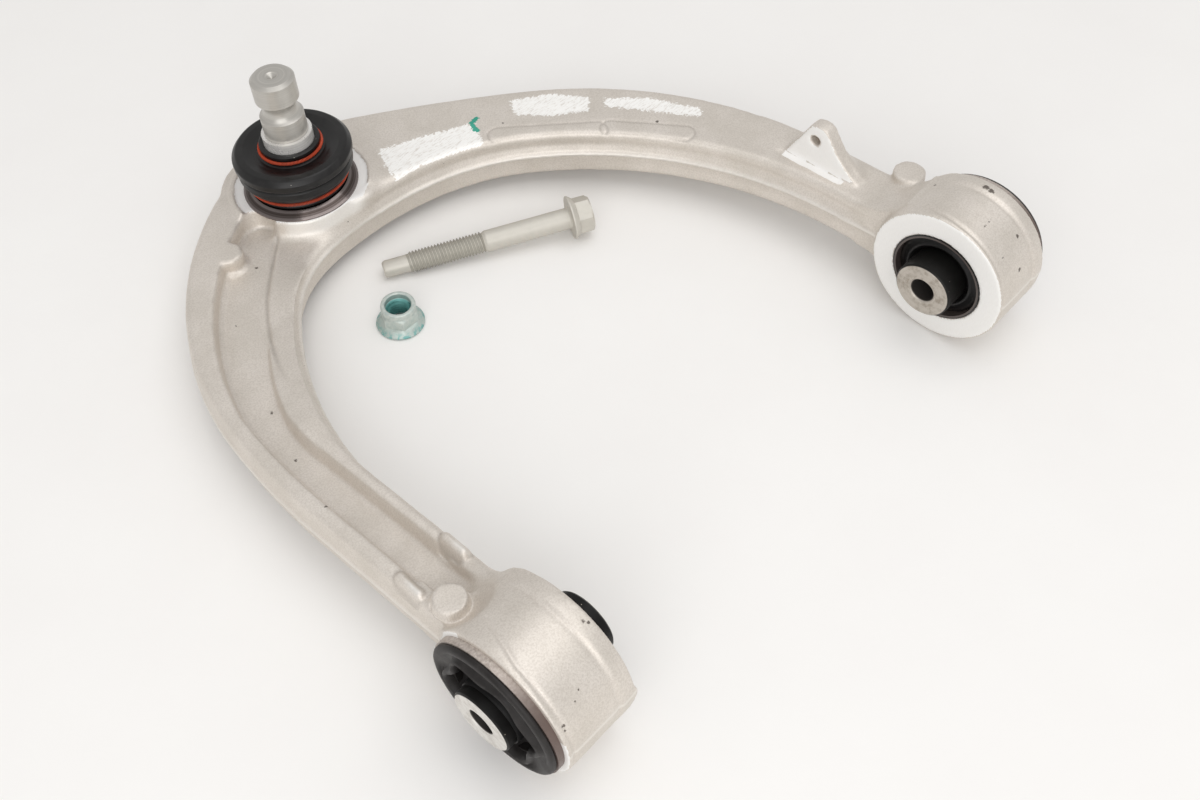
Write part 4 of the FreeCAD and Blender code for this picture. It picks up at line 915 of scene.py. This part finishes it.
def make_forging(paints):
    """The forging with its rounded edges, flash line, small marks and machined faces."""
    piece = remeshed_copy("forging_skin", "arm_forging", SKIN_CELL)
    mesh = piece.data
    pairs = np.empty(len(mesh.edges) * 2, dtype=np.int64)
    mesh.edges.foreach_get("vertices", pairs)
    pairs = pairs.reshape(-1, 2)
    points = soften(read_points(mesh), pairs)
    normals = write_points(mesh, points)
    x, v, w = to_arm(points).T
    milled, face, tab, shelf = machined_faces(points, x, v, w, normals)
    calm = (face | milled | (round_joint(x, v)[0] < BORE_KEEP)
            | (round_pivot(points)[0] < BORE_KEEP))
    relief = 0.11 * surface_waves(points) + eye_relief(points) + wall_relief(points, normals)
    points = points + normals * np.where(calm, 0.0, relief)[:, None]
    points[:, 0] += corner_flare(points)
    points = points + top_relief(x, v, w, normals)[:, None] * np.array(stud_axis)
    busy = (np.abs(x) < 20) & (v > 40) & (v < 63) & (w > 4)
    points = smooth_points(points, pairs, busy * 1.0, LAST_ROUNDS)
    points = np.clip(points, *(np.array(corner) / MM for corner in cad_box))
    write_points(mesh, points)
    set_mask(mesh, "milled", np.maximum(milled, shelf))
    paint_masks(mesh, points, x, v, w, to_arm(normals)[:, 2], tab)
    mesh.materials.append(paints["cast"])
    mesh.shade_smooth()
    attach(piece, "arm")
    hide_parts("arm_forging")


# ---------------------------------------------------------------- boot and its rings


def make_boot(paints):
    """The dust boot in two pieces that meet in its crease."""
    lower = lathe("boot_fold", round_corners([
        (19.6, 16.0), (21.6, 16.0, 0.4), (22.2, 17.6, 0.4), (21.7, 18.3, 0.3), (21.65, 20.6, 0.3),
        (23.9, 21.4, 1.2), (25.9, 24.4, 1.8), (25.4, 27.2, 1.2), (24.2, 28.3, 0.5), (22.4, 28.3),
        (22.4, 27.4), (23.4, 25.0, 1.5), (21.0, 22.0, 1.0), (19.6, 20.6, 0.4)]), stud_frame)
    upper = lathe("boot_dome", round_corners([
        (23.4, 28.2), (24.6, 28.4, 0.6), (26.55, 29.6, 1.0), (26.65, 32.6, 1.3), (24.6, 35.0, 1.6),
        (21.5, 35.0, 2.5), (17.2, 33.8, 2.0), (14.9, 33.5, 0.8), (13.05, 34.4, 0.5),
        (13.0, 36.4, 0.4), (13.5, 36.7, 0.3), (13.5, 38.0, 0.35), (12.9, 38.3, 0.25),
        (11.35, 38.3, 0.1), (11.35, 34.4), (13.4, 32.4), (17.0, 31.8, 1.0), (23.4, 33.0, 1.5),
        (24.9, 31.0, 1.0), (23.2, 29.2)]), stud_frame)
    for piece, bodies, heights in (
            (lower, ("arm", "boot"), (19.5, 27.0)), (upper, ("boot", "collar"), (29.5, 35.0))):
        piece.data.materials.append(paints["boot"])
        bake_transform(piece)
    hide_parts("dust_boot")
    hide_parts("dust_boot")


def make_rings(paints):
    """Coil springs round the boot, as fine wire coils."""
    for node, body, radius, height, reach, wire, coils in (
            ("boot_upper_ring", "collar", 13.81, 35.4, 0.6, 0.21, 150),
            ("boot_lower_ring", "arm", 22.45, 19.6, 0.75, 0.22, 250)):
        ring = coil_ring(node + "_coil", radius, height, reach, wire, coils)
        ring.data.materials.append(paints["wire"])
        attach(ring, body)
        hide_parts(node)


# ---------------------------------------------------------------- bushes

ROUND_STEPS = 144
RIDGE_RADIUS, RIDGE_SWING, RIDGE_WAVES, RIDGE_TURN = 21.0, 1.9, 6, 80
VOID_TURN = 20


def bush_wave(angle):
    """Radius of the sinuous ridge on the rubber's outer side."""
    return RIDGE_RADIUS - RIDGE_SWING * math.cos(RIDGE_WAVES * (angle - math.radians(RIDGE_TURN)))


def kidney(angle):
    """1 inside one of the two voids beside the core, 0 in the webs between them."""
    return float(smooth_step(math.cos(2 * (angle - math.radians(VOID_TURN))), -0.5, 0.7))


def make_bush_rubber(end, middle, outward, paints):
    """Rubber with its sinuous ridge and two voids outside, and a recessed lip ring inside."""
    points = []
    for step in range(ROUND_STEPS):
        angle = TURN * step / ROUND_STEPS
        ridge = bush_wave(angle)
        void = kidney(angle)
        inner = 14.3 + 1.4 * void
        outline = [
            (13.12, -13.2), (14.4, -13.6), (14.6, -14.6), (15.6, -14.8), (16.1, -13.8),
            (18.6, -13.2), (19.85, -12.8), (19.85, 16.0), (19.88, 19.42), (28.6, 19.42),
            (28.9, 19.8), (28.9, 20.6), (28.4, 21.3), (27.6, 21.7), (26.2, 21.7),
            ((ridge + 29.0) / 2, 21.0), (ridge + 2.6, 20.4), (ridge + 1.6, 20.7),
            (ridge + 0.9, 22.2), (ridge, 22.85), (ridge - 0.9, 22.2), (ridge - 1.6, 20.2),
            (ridge - 2.1, 17.6 - 0.6 * void), ((ridge - 2.1 + inner) / 2, 15.4 - 1.6 * void),
            (inner, 14.2 - 2.2 * void), (13.9, 14.0 - 2.4 * void), (13.8, 20.6), (13.4, 22.2),
            (13.12, 22.2)]
        for radius, along in outline:
            points.append((middle + outward * along, radius * math.cos(angle),
                           radius * math.sin(angle)))
    faces = ring_faces(ROUND_STEPS, len(outline))
    if outward < 0:
        faces = [tuple(reversed(face)) for face in faces]
    piece = add_mesh(f"{end}_rubber_shape", points, faces, crease=75)
    piece.data.materials.append(paints["rubber"])
    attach(piece, "arm")
    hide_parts(f"{end}_bush_rubber")


# ---------------------------------------------------------------- fasteners

HEX_WIDTH = 15.0
THREAD_RADIUS = 5.0
THREAD_DEPTH = 0.9
THREAD_PITCH = 1.5
THREAD_GAP = 0.02
HEX_CREASE, THREAD_CREASE = 28, 70
# Places from the ball joint's middle, in millimetres, and the bolt's heading in degrees
BOLT_PLACE, BOLT_HEADING = (79.7, -91.9), 150.3
NUT_PLACE = (-11.2, -73.4)


def thread(name, start, end, matrix, inward=False):
    """A thread as one helical skin from start to end along z, fading out at both ends."""
    sides = 48
    per_turn = ((0.0, 0.0), (0.36, 1.0), (0.5, 1.0), (0.86, 0.0))
    rows = []
    for turn in range(int((end - start) / THREAD_PITCH)):
        for share, crest in per_turn:
            rows.append((start + (turn + share) * THREAD_PITCH, crest))
    points, faces = [], []
    for height, crest in rows:
        for step in range(sides):
            angle = TURN * step / sides
            level = height + THREAD_PITCH * step / sides
            fade = min(1.0, (level - start) / THREAD_PITCH, max(0.0, (end - level) / THREAD_PITCH))
            reach = THREAD_DEPTH * crest * fade
            if inward:
                radius = THREAD_RADIUS + THREAD_GAP - reach
            else:
                radius = THREAD_RADIUS - THREAD_DEPTH - THREAD_GAP + reach
            points.append((radius * math.cos(angle), radius * math.sin(angle), level))
    for row in range(len(rows) - 1):
        for step in range(sides - 1):
            here = row * sides + step
            faces.append((here, here + 1, here + 1 + sides, here + sides))
    # The last column of a row meets the first column of the row one turn further
    jump = len(per_turn)
    for row in range(len(rows) - jump - 1):
        last = row * sides + sides - 1
        first = (row + jump) * sides
        faces.append((last, first, first + sides, last + sides))
    if inward:
        faces = [tuple(reversed(face)) for face in faces]
    return add_mesh(name, points, faces, matrix, THREAD_CREASE)


def make_bolt(paints):
    """Flange bolt lying on its flange's edge and its tip: hexagon, flange, shank, thread, pilot."""
    flange_radius, lying_length = 10.2, 78.3
    slope = math.asin((flange_radius - THREAD_RADIUS) / lying_length)
    height = table_height / MM + flange_radius * math.cos(slope)
    place = Vector((joint_x + BOLT_PLACE[0], joint_v + BOLT_PLACE[1], height)) * MM
    aim = (Matrix.Rotation(math.radians(BOLT_HEADING), 4, "Z")
           @ Matrix.Rotation(math.pi / 2 + slope, 4, "Y"))
    matrix = Matrix.Translation(place) @ aim
    root = THREAD_RADIUS - THREAD_DEPTH
    top = round_corners([(0.05, -9.7), (4.6, -9.7, 0.3), (5.2, -10.4, 0.2), (6.9, -10.4, 0.2)])
    hexagon = [(7.4, -10.1, True), (8.9, -9.3, True), (8.9, -3.1, True), (8.6, -2.75)]
    rest = round_corners([
        (8.6, -2.75), (9.9, -1.1, 0.3), (10.2, -0.75, 0.2), (10.2, -0.1, 0.1), (9.9, 0.0),
        (6.3, 0.0, 0.1), (5.7, 0.25, 0.2), (5.0, 0.8, 0.4), (THREAD_RADIUS, 40.6), (root, 42.2),
        (root, 76.4), (4.05, 77.3), (4.05, 87.9), (3.6, 88.9, 0.3), (3.0, 89.3, 0.2), (0.05, 89.3)])
    body = lathe("bolt_body", top + hexagon + rest, matrix, ROUND_STEPS, HEX_CREASE)
    body.data.materials.append(paints["bolt"])
    skin = thread("bolt_thread", 41.2, 77.2, matrix)
    skin.data.materials.append(paints["thread"])
    for piece in (body, skin):
        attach(piece, "bolt")
        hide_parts("pinch_bolt")


def make_nut(paints):
    """Flange nut with a recessed collar and its thread inside."""
    place = Vector((joint_x + NUT_PLACE[0], joint_v + NUT_PLACE[1], table_height / MM)) * MM
    matrix = Matrix.Translation(place)
    hole = THREAD_RADIUS + 0.05
    body = lathe("nut_body", [
        (5.6, 0.0), (10.3, 0.0), (10.7, 0.2), (10.9, 0.5), (10.8, 0.9), (10.2, 1.3), (8.75, 2.9),
        (8.6, 3.3, True), (8.6, 7.4, True), (8.1, 8.1, True), (7.6, 8.5, True), (7.35, 8.8),
        (7.3, 9.4), (7.75, 9.9), (7.8, 11.3), (7.6, 11.9), (7.1, 12.2), (6.3, 12.2), (5.9, 11.9),
        (5.8, 11.5), (5.8, 9.4), (5.6, 9.2), (hole, 8.9), (hole, 0.6)],
        matrix, ROUND_STEPS, HEX_CREASE)
    body.data.materials.append(paints["nut"])
    skin = thread("nut_thread", 0.3, 9.3, matrix, inward=True)
    skin.data.materials.append(paints["nut thread"])
    for piece in (body, skin):
        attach(piece, "nut")
        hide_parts("pinch_nut")


# ---------------------------------------------------------------- scene

make_camera()
make_floor()
make_light()
paints = make_materials()
dress_cad_nodes(paints)
make_forging(paints)
make_boot(paints)
make_rings(paints)
make_bush_rubber("front", 0.0, -1, paints)
make_bush_rubber("rear", rear_eye_x, 1, paints)
make_bolt(paints)
make_nut(paints)

bpy.context.scene.view_settings.view_transform = "Standard"
